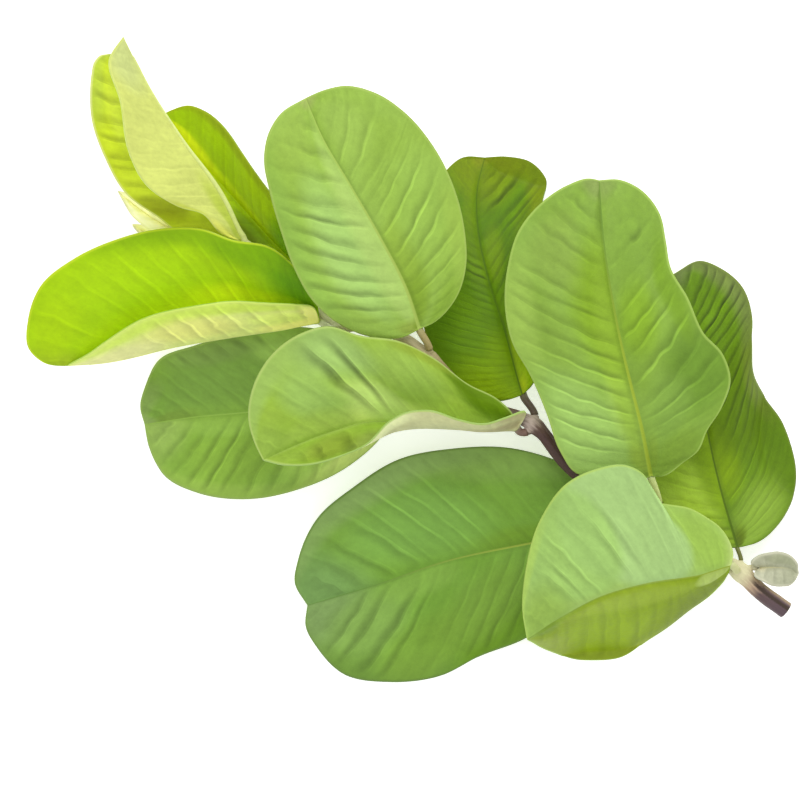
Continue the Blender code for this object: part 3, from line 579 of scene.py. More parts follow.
            (-0.98, 0.45, 0.34, 0.42, "#93BA50", 0.9), (0.06, 0.26, 0.36, 0.26, "#8AAC34", 0.95),
            (0.12, 0.46, 0.24, 0.16, "#98BA44", 0.8), (0.12, 0.68, 0.24, 0.14, "#A2C65A", 0.7),
            (-0.2, 0.05, 0.6, 0.13, "#96AC48", 0.9), (-0.8, 0.18, 0.36, 0.14, "#96B850", 0.8),
            (-0.08, 0.03, 0.2, 0.1, "#809A30", 0.95), (0.7, 0.13, 0.45, 0.12, "#8CB03C", 0.8),
            (0.6, 0.5, 0.5, 0.18, "#99BE54", 0.6), (0.9, 0.34, 0.2, 0.2, "#A6C856", 0.7),
            (0.5, 1, 0.9, 0.05, "#A2B464", 0.8), (-0.5, 1, 0.9, 0.05, "#A2B464", 0.8),
            (-0.62, 0.86, 0.44, 0.14, "#9DBE50", 0.7), (0.45, 0.85, 0.44, 0.14, "#A2C45C", 0.7),
            (0.3, 0.66, 0.34, 0.1, "#98BC4E", 0.6),
        ),
        "marks": (
            (-0.62, 0.42, 0.46, 0.26, 0.36, 0.08, 0.4), (-0.45, 0.66, 0.5, 0.16, 0.14, 0.08, 0.18),
            (-0.25, 0.84, 0.36, 0.12, 0.1, 0.04, 0.18), (-0.2, 0.3, 0.22, 0.22, 0.08, 0.04, 0.12),
            (0.5, 0.34, 0.5, 0.2, 0.2, 0.34, 0.2), (0.4, 0.54, 0.5, 0.16, 0.12, 0.24, 0.12),
            (0.35, 0.78, 0.45, 0.16, 0.1, 0.14, 0.1),
        ),
    },
    "left_leaf": {
        "node": "fourth", "base": (-3, -3), "heading": -168, "slot": "dark_leaf", "seed": 9,
        "midrib": ((0, 0, 24), (17, 3, 18), (35, 4, 12), (51, 3, 8), (68, 1, 3), (85, 0, -1)),
        "left": ((2, 7, 20), (10, 18, 15), (23, 26, 14), (39, 30, 13), (57, 30, 10), (72, 25, 6),
                 (82, 17, 1), (85, 7, -2)),
        "right": ((3, -6, 22), (15, -14, 20), (30, -20, 19), (47, -22, 17), (64, -21, 12), (76, -19, 3),
                  (82, -12, -2), (85, -6, -3)),
        "leftVeins": (0.058, (0.43, 0.43), (0.6, 0.605), (0.672, 0.675), (0.72, 0.725), (0.77, 0.775),
                      (0.82, 0.83), (0.87, 0.88)),
        "rightVeins": (0.06,),
        "pleats": 0.1, "rib": "#93B858", "ribTip": "#8CB04E", "ribWidth": 0.7, "ribShade": (-0.06, 0),
        "upper": "#80A744", "mottle": "#7AA03C", "under": "#A0B470", "rim": "#93AE5E", "stalk": "#A6AC5E",
        "toneAndLightGain": (1.15, 1.1, 0.96),
        # Painted light: the lighter colours at (0.8, 0.4), (-0.9, 0.3) and (-0.62, 0.46) lift shade from
        # leaves above
        "toneAndShadePatches": (
            (0.48, 0.62, 0.52, 0.6, "#739840", 1), (0.8, 0.4, 0.5, 0.18, "#98BE5E", 0.95),
            (-0.9, 0.3, 0.4, 0.2, "#C0D878", 0.9), (-0.62, 0.46, 0.34, 0.12, "#A0C65C", 0.8),
            (-0.6, 0.7, 0.55, 0.2, "#7B9F3A", 0.9), (-0.15, 0.8, 0.2, 0.18, "#8CB24E", 0.8),
            (-0.97, 0.62, 0.16, 0.4, "#8EAE4E", 0.6), (-0.5, 0.97, 0.9, 0.14, "#90AE5A", 0.9),
            (0.08, 0.94, 0.3, 0.12, "#728E3A", 0.7), (0.9, 0.62, 0.24, 0.2, "#749048", 0.8),
            (0.85, 0.94, 0.3, 0.12, "#7E9A54", 0.8), (0.45, 1, 0.9, 0.05, "#869E60", 0.8),
        ),
        "marks": (
            (-0.58, 0.74, 0.56, 0.2, 0.24, 0.18, 0.24), (-0.88, 0.5, 0.4, 0.18, 0.12, 0.12, 0.16),
            (-0.4, 0.9, 0.5, 0.08, 0.1, 0.1, 0.16), (0.4, 0.8, 0.5, 0.3, 0.05, 0.05, 0.05),
            (0.92, 0.62, 0.18, 0.24, 0.04, 0.08, 0.26),
        ),
    },
    "lime_leaf": {
        "node": "fifth", "base": (-30, 12), "heading": -171, "slot": "young_leaf", "seed": 10,
        "arch": (-1, 2),
        "midrib": ((0, 0, 30), (11, 1, 27), (26, 1, 25), (45, 1, 24), (65, 2, 24), (82, 1, 26)),
        "left": ((1, -5, 34), (7, -7, 37), (17, -9, 40), (29, -11, 42), (43, -11, 43), (57, -9, 41),
                 (67, -5, 36), (76, -1, 30)),
        "right": ((0, -7, 34), (4, -17, 38), (12, -26, 40), (23, -30, 41), (32, -35, 40), (44, -37, 39),
                  (59, -36, 38), (74, -32, 36), (86, -25, 33), (91.5, -15.5, 30), (92.8, -6, 28),
                  (88.5, -0.8, 27)),
        "leftVeins": (0.09, (0.125, 0.11), (0.225, 0.205), (0.335, 0.325), (0.43, 0.42), (0.51, 0.475),
                      (0.585, 0.55), (0.65, 0.63), (0.72, 0.71)),
        "rightVeins": (0.058, (0.455, 0.467), (0.507, 0.527)),
        "pleats": 0.1, "rib": "#C4D860", "ribTip": "#C8DA6C", "ribWidth": 0.7,
        "upper": "#A3CE12", "mottle": "#9CC60C", "under": "#D0DE80", "rim": "#C6DC6C", "stalk": "#DADDAE",
        "toneAndLightGain": (1.12, 1.06, 0.18), "underToneAndLightGain": (1.25, 1.2, 1.08),
        # Painted light: the bright lime colour at (0.3, 0.5), where the blade turns steeply into shade
        "toneAndShadePatches": (
            (0.3, 0.5, 0.26, 0.38, "#E0FC44", 0.95), (0.7, 0.16, 0.6, 0.16, "#62980A", 1),
            (0.28, 0.16, 0.18, 0.14, "#A4D030", 0.9), (0.3, 0.78, 0.24, 0.16, "#B4DC24", 0.8),
            (0.9, 0.28, 0.28, 0.18, "#76A604", 0.9), (0.97, 0.48, 0.16, 0.2, "#82AE06", 0.9),
            (0.64, 0.62, 0.4, 0.26, "#A6D31C", 0.8), (0.5, 0.98, 0.9, 0.12, "#92AE46", 0.9),
            (0.75, 0.84, 0.3, 0.12, "#A2C812", 0.6),
        ),
        # Painted light: the pale cream colours lift the underside, which faces away from the lamps
        "underToneAndShadePatches": (
            (-0.85, 0.5, 0.2, 0.6, "#BCD84C", 0.8), (-0.5, 0.04, 0.9, 0.12, "#FFFFA0", 1),
            (-0.16, 0.18, 0.24, 0.26, "#FCFF94", 0.9), (-0.45, 0.24, 0.3, 0.16, "#DCF078", 0.7),
            (-0.5, 0.58, 0.4, 0.22, "#CED076", 0.8), (-0.3, 0.85, 0.5, 0.2, "#D4D696", 0.9),
        ),
        "marks": (
            (0.55, 0.48, 0.5, 0.3, 0.06, 0.12, 0.04), (-0.5, 0.4, 0.55, 0.42, 0.2, 0.3, 0.14),
        ),
    },
    "lime_back_leaf": {
        "node": "fifth", "base": (-31, 24), "heading": 132, "slot": "young_leaf", "seed": 11,
        "midrib": ((0, 0, 26), (19, 1, 23), (38, 1, 21), (56, 1, 20), (68, 0, 19), (73.5, 0, 18)),
        "left": ((5, 5, 25), (20, 11, 22), (38, 13, 20), (55, 12, 20), (68, 8, 19)),
        "right": ((4, -5, 27), (13, -8, 30), (25, -8.6, 31), (36, -9.2, 31), (47, -10.5, 30),
                  (59, -11.6, 27), (65, -10.5, 24), (70, -7.8, 21), (72.5, -3, 19)),
        "leftVeins": (0.06,),
        "rightVeins": (0.06,),
        "pleats": 0.08, "rib": "#A8C83A", "ribTip": "#C0D850", "ribWidth": 0.15,
        "upper": "#98BC0E", "mottle": "#8FB409", "under": "#C4D27C", "rim": "#93A45A", "stalk": "#B9C47A",
        "streaks": 0.14, "toneAndLightGain": (1.24, 1.14, 0.1),
        "toneAndShadePatches": (
            (0.3, 0.3, 0.6, 0.16, "#6CA010", 0.95), (-0.45, 0.48, 0.34, 0.18, "#5C7400", 0.95),
            (-0.16, 0.5, 0.16, 0.14, "#6C9008", 0.8), (0.1, 0.66, 0.22, 0.24, "#B4D02C", 0.8),
            (0.12, 0.9, 0.3, 0.2, "#CCE040", 0.9), (-0.3, 0.8, 0.4, 0.2, "#B4C634", 0.9),
            (0.7, 0.8, 0.36, 0.24, "#8EB402", 0.8), (0.93, 0.62, 0.14, 0.4, "#809828", 0.9),
        ),
        "marks": ((0.2, 0.55, 0.8, 0.3, 0.04, 0.04, 0.03),),
    },
    "tip_leaf": {
        "node": "sixth", "base": (-55, 38), "heading": 120, "slot": "young_leaf", "seed": 12,
        "arch": (0.5, -0.5), "out": (-0.55, 0.75, 0.4),
        "midrib": ((0, 0, 33.5), (16, -2, 38), (36, 0, 45), (56, 1, 50), (75, 0, 52)),
        "left": ((3, 6, 32), (9, 14, 32), (20, 19, 35), (32, 24, 39), (44, 24, 42), (57, 21.5, 44),
                 (65, 17.5, 46), (69.5, 14.5, 47), (72.4, 12, 48), (73.4, 9, 49), (72.6, 7, 49.5),
                 (71.6, 6, 50), (72.4, 4.4, 50.5), (74, 2, 51.2)),
        "right": ((5, 4, 37), (13, 6, 44), (20, 12, 50), (31, 17, 57), (43, 16, 60), (57, 11, 59),
                  (71, 7, 55)),
        "leftVeins": (0.065, (0.375, 0.375), (0.435, 0.435), (0.515, 0.515), (0.55, 0.55), (0.625, 0.625),
                      (0.685, 0.685), (0.755, 0.755), (0.815, 0.815), (0.87, 0.87)),
        "rightVeins": (0.06, (0.375, 0.375), (0.44, 0.44), (0.52, 0.52)),
        "pleats": 0.08, "rib": "#C4CE5C", "ribTip": "#DDE4A8", "ribWidth": 0.6,
        "upper": "#C6DC2C", "mottle": "#BED424", "under": "#DEE688", "rim": "#DDE68E", "stalk": "#D0D48C",
        "toneAndLightGain": (1.22, 1.14, 1.2), "underToneAndLightGain": (0.93, 0.92, 0.7),
        "toneAndShadePatches": (
            (-0.6, 0.19, 0.8, 0.08, "#D2E440", 0.95), (-0.8, 0.33, 0.4, 0.09, "#8E9C10", 0.9),
            (-0.95, 0.93, 0.3, 0.06, "#98A834", 0.9), (-0.96, 0.8, 0.24, 0.18, "#AEC63C", 0.9),
            (-0.6, 0.72, 0.24, 0.22, "#D4E848", 0.7),
        ),
        "underToneAndShadePatches": (
            (0.8, 0.05, 0.6, 0.16, "#FFFF88", 1), (0.12, 0.24, 0.2, 0.3, "#BCCE48", 0.8),
            (0.92, 0.27, 0.16, 0.1, "#C8D450", 0.7), (0.5, 0.95, 0.8, 0.18, "#C8D294", 0.9),
        ),
        "marks": (
            (-0.85, 0.6, 0.42, 0.4, 0.22, 0.03, 0.22), (0.45, 0.4, 0.6, 0.2, 0.1, 0.1, 0.03),
        ),
    },
    "bud_leaf_long": {
        **budLeaf, "base": (-58, 35.5), "heading": 153, "seed": 13, "out": (-0.9, -0.15, -0.35),
        "midrib": ((0, 0, 30), (17, 3, 29), (32, 2, 29), (41, 0, 30)),
        "left": ((7, 5, 31), (20, 7, 31), (32, 5, 31)),
        "right": ((10, -1, 31), (24, -1, 31), (35, -1, 31)),
        # A high multiplier: painted light that lifts the shade the tip leaf casts on this bud
        "toneAndLightGain": (1.44, 1.44, 1.25),
    },
    "bud_leaf_short": {
        **budLeaf, "base": (-57, 31.5), "heading": 160, "seed": 14, "out": (-0.3, -0.85, -0.4),
        "midrib": ((0, 0, 28), (13, 2, 25), (25, 2, 24), (35, 0, 25)),
        "left": ((7, 5, 27), (19, 6, 26), (28, 4, 26)),
        "right": ((9, -1, 27), (21, -2, 26), (30, -1, 26)),
        # A high multiplier: painted light that lifts the shade the tip leaf casts on this bud
        "toneAndLightGain": (1.35, 1.35, 1.15),
    },
}
leaves = {name: {**plainLeaf, **own} for name, own in leaves.items()}

# How the pleats fade towards the base, the tip, the midrib and the rim
fade = {"base": (0.0, 0.06), "tip": (1.0, 0.9), "rib": (0.02, 0.2), "rim": (0.75, 1.0), "rimShare": 0.9}


def placed(leaf, points):                                # a leaf's own points in the frame, in millimetres
    points = np.array(points, float)
    turn = math.radians(leaf["heading"])
    x = leaf["base"][0] + points[:, 0] * math.cos(turn) - points[:, 1] * math.sin(turn)
    y = leaf["base"][1] + points[:, 0] * math.sin(turn) + points[:, 1] * math.cos(turn)
    return np.stack([x, y, points[:, 2]], axis=1)


def veinNumbers(spacing, *noted):                        # a half's side veins, noted and in between
    noted = [(0, 0), *noted, (1, 1)]
    places = [noted[0]]
    for before, after in zip(noted, noted[1:]):
        count = max(1, round((sum(after) - sum(before)) / 2 / spacing))
        places.extend(zip(*(np.linspace(a, b, count + 1)[1:] for a, b in zip(before, after))))
    return np.array(places)


def veinPlace(leaf, across, along):                      # which side vein each point is at, on either half
    out = np.abs(across)[0]
    waver = np.sin(along * vein["pace"] + leaf["seed"]) * vein["waver"]
    x, y = across * blade["halfWidth"], along * blade["length"]
    soft = ripple(x, y, vein["bendSize"], leaf["seed"] + vein["bendSeed"]) * vein["bend"]
    rows = (along + waver)[:, 0]
    halves = []
    for half in ("leftVeins", "rightVeins"):
        atRib, atMargin = veinNumbers(*leaf[half]).T
        places = [np.interp(rows + far * (1 - far) * vein["bow"], atRib + (atMargin - atRib) * far,
                            np.arange(len(atRib))) for far in out]
        halves.append(np.stack(places, axis=1) + soft)
    return halves


def sheetNormals(points):                                # the rows at both ends take their neighbour's
    normals = unit(np.cross(np.gradient(points, axis=1), np.gradient(points, axis=0)))
    normals[0] = normals[1] = normals[2]
    normals[-1] = normals[-2] = normals[-3]
    return normals


def stretched(leaf, across, along):                      # a sheet from the midrib out to both margins
    midrib = smoothLine(placed(leaf, leaf["midrib"]))
    rib = readAt(midrib, along[:, 0] ** blade["veinLead"])[:, None]
    growth = blade["marginGrowth"] * np.sqrt(np.maximum(np.sin(math.pi * along), 0))[..., None]
    soft = np.sqrt(across ** 2 + blade["fold"] ** 2)
    middle = rib + np.zeros(across.shape + (1,))
    for name, share in (("left", (soft - across) / 2), ("right", (soft + across) / 2)):
        margin = smoothLine(placed(leaf, (leaf["midrib"][0], *leaf[name], leaf["midrib"][-1])))
        reach = readAt(margin, along[:, 0])[:, None] - rib
        length = np.maximum(np.linalg.norm(reach, axis=2, keepdims=True), 1e-6)
        middle = middle + reach * (1 + growth / length) * share[..., None]
    return middle


def relief(leaf, across, along, veins, fromRib):
    # Pleats between the side veins, of strengths drawn by lot, a hollow at the midrib and a slack margin
    out, seed = np.abs(across), leaf["seed"]
    x, y = across * blade["halfWidth"], along * blade["length"]
    lot = np.sin(np.floor(veins) * blade["lotPace"] + seed) * blade["lotSize"]
    strength = blade["pleatLeast"] + blade["pleatSpread"] * (lot - np.floor(lot))
    reach = smoothStep(*fade["rib"], out) * (1 - fade["rimShare"] * smoothStep(*fade["rim"], out))
    ends = smoothStep(*fade["base"], along) * smoothStep(*fade["tip"], along)
    soft = blade["pleatMean"] + blade["pleatSway"] * ripple(x, y, blade["pleatSize"], seed)
    zones = [(1 - smoothStep(0, 1, awayFrom(mark, across, along))) * mark[4] for mark in leaf["marks"]]
    depth = leaf["pleats"] + sum(zones)
    dome = np.sin(math.pi * (veins - np.floor(veins)) ** blade["pleatLean"])
    slack = ripple(x, y, blade["slackSize"], seed + blade["slackSeed"]) * blade["slack"] * out * ends
    hollow = blade["ribDepth"] * np.exp(-(fromRib / blade["ribHollow"]) ** 2) * ends
    return depth * blade["pleatHeight"] * dome * strength * reach * ends * soft - hollow + slack


def leafSheet(leaf):                                     # rows of points from base to tip, and their maps
    along = np.linspace(0, 1, leaf["rows"] + 1)[:, None]
    side = np.linspace(-1, 1, leaf["columns"] + 1)[None]
    across = np.sign(side) * np.abs(side) ** blade["crowding"]
    out = np.abs(across)
    middle = stretched(leaf, across, along)
    arch = 4 * out * (1 - out) * np.where(across < 0, *leaf["arch"]) * np.sin(math.pi * along)
    middle = middle + sheetNormals(middle) * arch[..., None]
    span = np.linalg.norm(middle - middle[:, middle.shape[1] // 2][:, None], axis=2)
    halfSpan = np.where(across < 0, span[:, :1], span[:, -1:])
    fromRib, fromRim = out * halfSpan, (1 - out) * halfSpan
    onLeft, onRight = veinPlace(leaf, across, along)
    height = relief(leaf, across, along, np.where(across < 0, onLeft, onRight), fromRib)
    middle = middle + sheetNormals(middle) * height[..., None]
    middle[..., 2] = np.maximum(middle[..., 2], blade["thickness"] / 2 + blade["clearance"])
    maps = (("leaf", across / 2 + 0.5, along),
            ("reach", fromRib / blade["mapReach"], fromRim / blade["mapReach"]),
            ("veins", onLeft / vein["mapMost"], onRight / vein["mapMost"]))
    return middle, sheetNormals(middle), maps


# The skin of the leaves. Pairs are where a value starts to rise and where it is full, and sizes are in
# millimetres. "light" is what every listed colour is multiplied by, and "halfGap" sets the right half's
# draws apart from the left's.
skin = {
    "light": 0.86, "sideChange": (-0.02, 0.02), "halfGap": 7.0,
    "veinsFromRib": (0.01, 0.09), "veinsToRim": (0.88, 1.0),
    "ridge": 0.07, "ridgeWidth": (0.02, 0.12), "ridgeLeast": 0.5,
    # Painted shade in the hollows after each side vein: how dark, where it rises and ends, and how it varies
    "valleyShade": 0.05, "valleyRise": (0.12, 0.58), "valleyEnd": (0.92, 1.0), "valleyLevel": 0.6,
    "valleyLeast": 0.7, "valleySpread": 0.9,
    "uneven": (0.30, 0.62), "unevenLeast": 0.5, "unevenSpread": 0.7,
    "streakPace": (1.15, 2.2), "streakDetail": 3.0, "streakRoughness": 0.55, "streakGain": 2.2,
    "grainPace": (3.2, 8.0), "grain": 0.24, "fineSize": 1.4, "fineDetail": 3, "fine": 0.18,
    "broadSize": 22, "broad": (0.35, 0.65),
    "ribTaper": 0.62, "rib": (0.45, 1.1), "ribCover": 0.85, "ribTip": (0.45, 0.95),
    "besideRib": (0.6, 1.2), "besideEnd": (1.6, 4.0),
    "rim": (0.25, 1.0), "rimCover": 0.75, "rimSize": 3, "rimRoughness": 0.5,
    "netSize": 1.6, "net": (0.0, 0.12), "netRelief": 0.25,
    "fineRelief": 0.5, "downSize": 0.5, "downRelief": 0.25,
    "bump": 0.35, "bumpDepth": 0.25, "roughnessSpread": 0.16, "specular": 0.15, "sheenRoughness": 0.4,
    "stalkChange": (0.6, 2.0), "stalkGrain": 0.9, "stalkLight": (0.85, 0.3), "stalkBump": 0.4,
    "stalkBumpDepth": 0.2, "stalkRoughness": 0.55,
}

# The waxy upper face and the downy under face
faces = {
    "upper": {"second": "mottle", "secondLight": 1.0, "toneAndShadePatches": "toneAndShadePatches", "toneAndLightGain": "toneAndLightGain",
              "ridgeRelief": 1.2, "roughness": 0.44, "sheen": 0.0},
    "under": {"second": "under", "secondLight": 0.88, "toneAndShadePatches": "underToneAndShadePatches", "toneAndLightGain": "underToneAndLightGain",
              "ridgeRelief": 2.0, "roughness": 0.64, "sheen": 0.15},
}


def withToneAndShadePatches(tone, toneAndShadePatches, across, along):               # the leaf's own tone and painted sheen, light and shade, patch by patch, each on its side of the midrib
    right = across.rise(*skin["sideChange"])
    for patch in toneAndShadePatches:
        tint, amount, *soft = patch[4:]
        flat = 1 - soft[0] if soft else 0.0
        share = (1 - awayFrom(patch, across, along).rise(flat, 1.0)) * amount
        if patch[0]:
            share = share * (right if patch[0] > 0 else 1 - right)
        tone = tone.blend(colour(tint), share)
    return tone


def drawn(number, side):                                 # a number from 0 to 1 for each vein
    place = number.vector(number, side)
    return number.node("ShaderNodeTexWhiteNoise", {"noise_dimensions": "2D"}, {"Vector": place})


def veinToneAndShade(leaf, place, across, along):
    # Side veins: a pale ridge at each whole number, then painted shade in the hollow after it, lightening
    # up to the next ridge as light falling across the pleats would
    out, right = abs(across), across > 0
    side = right * skin["halfGap"] + leaf["seed"]
    onLeft, onRight = (part * vein["mapMost"] for part in across.mapped("veins"))
    wobble = (noise(place, vein["wobbleSize"]) - 0.5) * vein["wobble"]
    at = onLeft + right * (onRight - onLeft) + wobble
    below, nearest = at.maths("FLOOR", at), at.maths("ROUND", at)
    between = at - below
    streakPlace = at.vector(at * skin["streakPace"][0], out * skin["streakPace"][1], side)
    streak = clouds(streakPlace, 1.0, skin["streakDetail"], skin["streakRoughness"])
    grain = clouds(at.vector(at * skin["grainPace"][0], out * skin["grainPace"][1], side), 1.0)
    ridge, valleyShade = skin["ridge"], skin["valleyShade"]
    for mark in leaf["marks"]:
        share = 1 - awayFrom(mark, across, along).rise(0.0, 1.0)
        ridge = share * mark[5] + ridge
        valleyShade = share * mark[6] + valleyShade
    shown = out.rise(*skin["veinsFromRib"]) * (1 - out.rise(*skin["veinsToRim"]))
    uneven = (streak.rise(*skin["uneven"]) * skin["unevenSpread"] + skin["unevenLeast"]) * shown
    crest = 1 - at.maths("PINGPONG", at, 0.5).rise(*skin["ridgeWidth"])
    ridge = crest * ridge * uneven * (drawn(nearest, side) + skin["ridgeLeast"])
    paintedValleyShade = between.rise(*skin["valleyRise"]) - between.rise(*skin["valleyEnd"]) - skin["valleyLevel"]
    paintedValleyShade = paintedValleyShade * valleyShade * uneven * (drawn(below, side) * skin["valleySpread"] + skin["valleyLeast"])
    light = ridge + paintedValleyShade + (streak - 0.5) * (leaf["streaks"] * skin["streakGain"])
    return ridge, light + (grain - 0.5) * skin["grain"]


def ribbed(leaf, tone, light, across, along):            # the tone with its light and painted shade, then its midrib and rim
    fromRib, fromRim = (part * blade["mapReach"] for part in tone.mapped("reach"))
    fromLine = fromRib / (leaf["ribWidth"] * (1 - along * skin["ribTaper"]))
    # Painted shade, and on some leaves painted light, either side of the midrib where the blade folds
    if leaf["ribShade"]:
        shadeLeft, shadeRight = leaf["ribShade"]
        beside = fromLine.rise(*skin["besideRib"]) * (1 - fromLine.rise(*skin["besideEnd"]))
        light = light + beside * ((across > 0) * (shadeRight - shadeLeft) + shadeLeft)
    tone = tone.scaled(light)
    ribTone = tone.mix(along.rise(*skin["ribTip"]), colour(leaf["rib"]), colour(leaf["ribTip"]))
    tone = tone.blend(ribTone, (1 - fromLine.rise(*skin["rib"])) * skin["ribCover"])
    return tone.blend(colour(leaf["rim"]), (1 - fromRim.rise(*skin["rim"])) * skin["rimCover"])


def leafMaterial(name, leaf, side):                      # side is "upper" or "under"
    material, shader, wire = newMaterial(name)
    face = faces[side]
    place = wire.objectPlace()
    across, along = wire.mapped("leaf")
    across = across * 2 - 1
    fine = noise(place, skin["fineSize"], skin["fineDetail"])
    ridge, light = veinToneAndShade(leaf, place, across, along)
    light = light + (fine - 0.5) * skin["fine"] + 1
    second = [part * face["secondLight"] for part in colour(leaf[face["second"]])[:3]] + [1]
    tone = wire.mix(noise(place, skin["broadSize"]).rise(*skin["broad"]), colour(leaf[side]), second)
    tone = withToneAndShadePatches(tone, leaf[face["toneAndShadePatches"]], across, along)
    tone = ribbed(leaf, tone, light, across, along)
    # The tone times the leaf's multiplier, which is partly its own tone and partly painted light
    tone.times([part * skin["light"] for part in leaf[face["toneAndLightGain"]]]).into(shader, "Base Color")

    # The finish, with the fine net of veins as relief
    sockets = {"Vector": place, "Scale": 1 / (skin["netSize"] * mm)}
    net = 1 - wire.node("ShaderNodeTexVoronoi", {"feature": "DISTANCE_TO_EDGE"}, sockets).rise(*skin["net"])
    height = fine * skin["fineRelief"] + noise(place, skin["downSize"]) * skin["downRelief"]
    height = height - net * skin["netRelief"] + ridge * face["ridgeRelief"]
    bumped(shader, height, skin["bump"], skin["bumpDepth"])
    (face["roughness"] + fine * skin["roughnessSpread"]).into(shader, "Roughness")
    shader.inputs["Specular IOR Level"].default_value = skin["specular"]
    shader.inputs["Sheen Weight"].default_value = face["sheen"]
    shader.inputs["Sheen Roughness"].default_value = skin["sheenRoughness"]
    return material


def rimMaterial(name, leaf):
    material, shader, wire = newMaterial(name)
    share = noise(wire.objectPlace(), skin["rimSize"])
    tone = wire.mix(share, colour(leaf["rim"]), colour(leaf["upper"]))
    tone.scaled(skin["light"]).into(shader, "Base Color")
    shader.inputs["Roughness"].default_value = skin["rimRoughness"]
    return material


def stalkMaterial(name, leaf, stalkShare):               # the stalk's colour passes into the midrib's
    material, shader, wire = newMaterial(name)
    along = wire.mapped("leaf")[1]
    share = along.rise(*(stalkShare * part for part in skin["stalkChange"]))
    grain = noise(wire.objectPlace(), skin["stalkGrain"], skin["fineDetail"])
    least, spread = skin["stalkLight"]
    tone = wire.mix(share, colour(leaf["stalk"]), colour(leaf["under"]))
    tone.scaled((least + grain * spread) * skin["light"]).into(shader, "Base Color")
    bumped(shader, grain, skin["stalkBump"], skin["stalkBumpDepth"])
    shader.inputs["Roughness"].default_value = skin["stalkRoughness"]
    return material


# Leaves

def makeStalk(name, leaf, middle, normals):              # the stalk, and the midrib that goes on from it
    node, out, reach = stalkStart(leaf)
    radius = leaf["stalkRadius"]
    centre, first, last = middle.shape[1] // 2, stalk["ribStart"], int(len(middle) * stalk["ribEnd"])
    share = np.linspace(0, 1, last - first)
    thin = radius * ((1 - share) ** stalk["ribTaper"] + stalk["ribAtTip"])
    rib = middle[first:last, centre] - normals[first:last, centre] * (thin * stalk["ribDrop"])[:, None]
    start, end = node + out * (reach - stalk["sunk"]), rib[0]
    ahead = unit(rib[stalk["ribAhead"]] - end)
    pull = np.linalg.norm(end - start)
    t = np.linspace(0, 1, stalk["steps"])[:, None]
    curve = ((2 * t**3 - 3 * t**2 + 1) * start + (t**3 - 2 * t**2 + t) * pull * out
             + (3 * t**2 - 2 * t**3) * end + (t**3 - t**2) * pull * ahead)
    line = np.vstack([curve[:-1], rib])
    foot = 1 + stalk["foot"] * np.exp(-lengthAlong(curve)[:-1] / stalk["footLength"])
    radii = np.concatenate([radius * foot + (thin[0] - radius) * t[:-1, 0], thin])
    radii[0] = radii[-1] = 0
    tube = tubePiece(name + "_stalk", line, radii, stalk["sides"], ("leaf", "reach", "veins"))
    tube.data.materials.append(stalkMaterial(name + "_stalk", leaf, pull / lengthAlong(line)[-1]))
    return tube


def makeLeaf(name, leaf):
    middle, normals, maps = leafSheet(leaf)
    piece = gridPiece(name + "_fine", middle, maps)
    for side in ("upper", "under"):
        piece.data.materials.append(leafMaterial(name + "_" + side, leaf, side))
    piece.data.materials.append(rimMaterial(name + "_rim", leaf))
    applied(piece, "SOLIDIFY", {"thickness": blade["thickness"] * mm, "offset": 0, "material_offset": 1,
                                "material_offset_rim": 2})
    piece = joined([piece, makeStalk(name, leaf, middle, normals)])
    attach(piece, "root")
    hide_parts(name)
    print("leaf made:", name, len(piece.data.polygons), "faces")


for leafName, leafLook in leaves.items():
    makeLeaf(leafName, leafLook)


# Twig

bark = {
    "stops": ((0, "#5A444A"), (0.05, "#5E4644"), (0.068, "#B79A7C"), (0.09, "#DED6A6"),
              (0.118, "#D2CB9A"), (0.15, "#8A7A4A"), (0.3, "#6E5A3C"), (0.36, "#54382E"),
              (0.455, "#4C2E26"), (0.472, "#5E4438"), (0.486, "#BBA898"), (0.499, "#5A4636"),
              (0.56, "#5E4E34"), (0.64, "#8A7A48"), (0.68, "#B5A878"), (0.74, "#CFC49A"),
              (0.82, "#E4E0B8"), (0.9, "#C9CC84"), (1, "#C9CC84")),
    "stretch": (1, 1, 0.14), "streakScale": 1.1, "streakDetail": 4.0, "streakRoughness": 0.6, "waver": 0.03,
    "lightLeast": 0.72, "lightSpread": 0.56, "grainScale": 2.6, "grainDetail": 3.0,
    "crack": "#3C2418", "cracks": (0.62, 0.78), "crackCover": 0.35, "nearCut": (0.06, 0.085),
    "seam": "#3A2614", "seamAt": 0.25, "seamSway": 0.2, "seamWidth": (0.12, 0.34),
    "farSide": "#A8906C", "far": (0.55, 0.85), "farCover": 0.8,
    "grainRelief": 0.4, "bump": 0.6, "bumpDepth": 0.35, "roughness": 0.5, "roughnessSpread": 0.3,
    "cut": "#D8C79A", "cutRings": "#A88F5E", "ringScale": 3.0, "ringDetail": 3.0, "cutRoughness": 0.8,
}


def stemPlace(wire):                                     # across and above a stem of mapRadius, and along it
    return wire.node("ShaderNodeAttribute", {"attribute_name": "stemPlace"}, {}, 1)


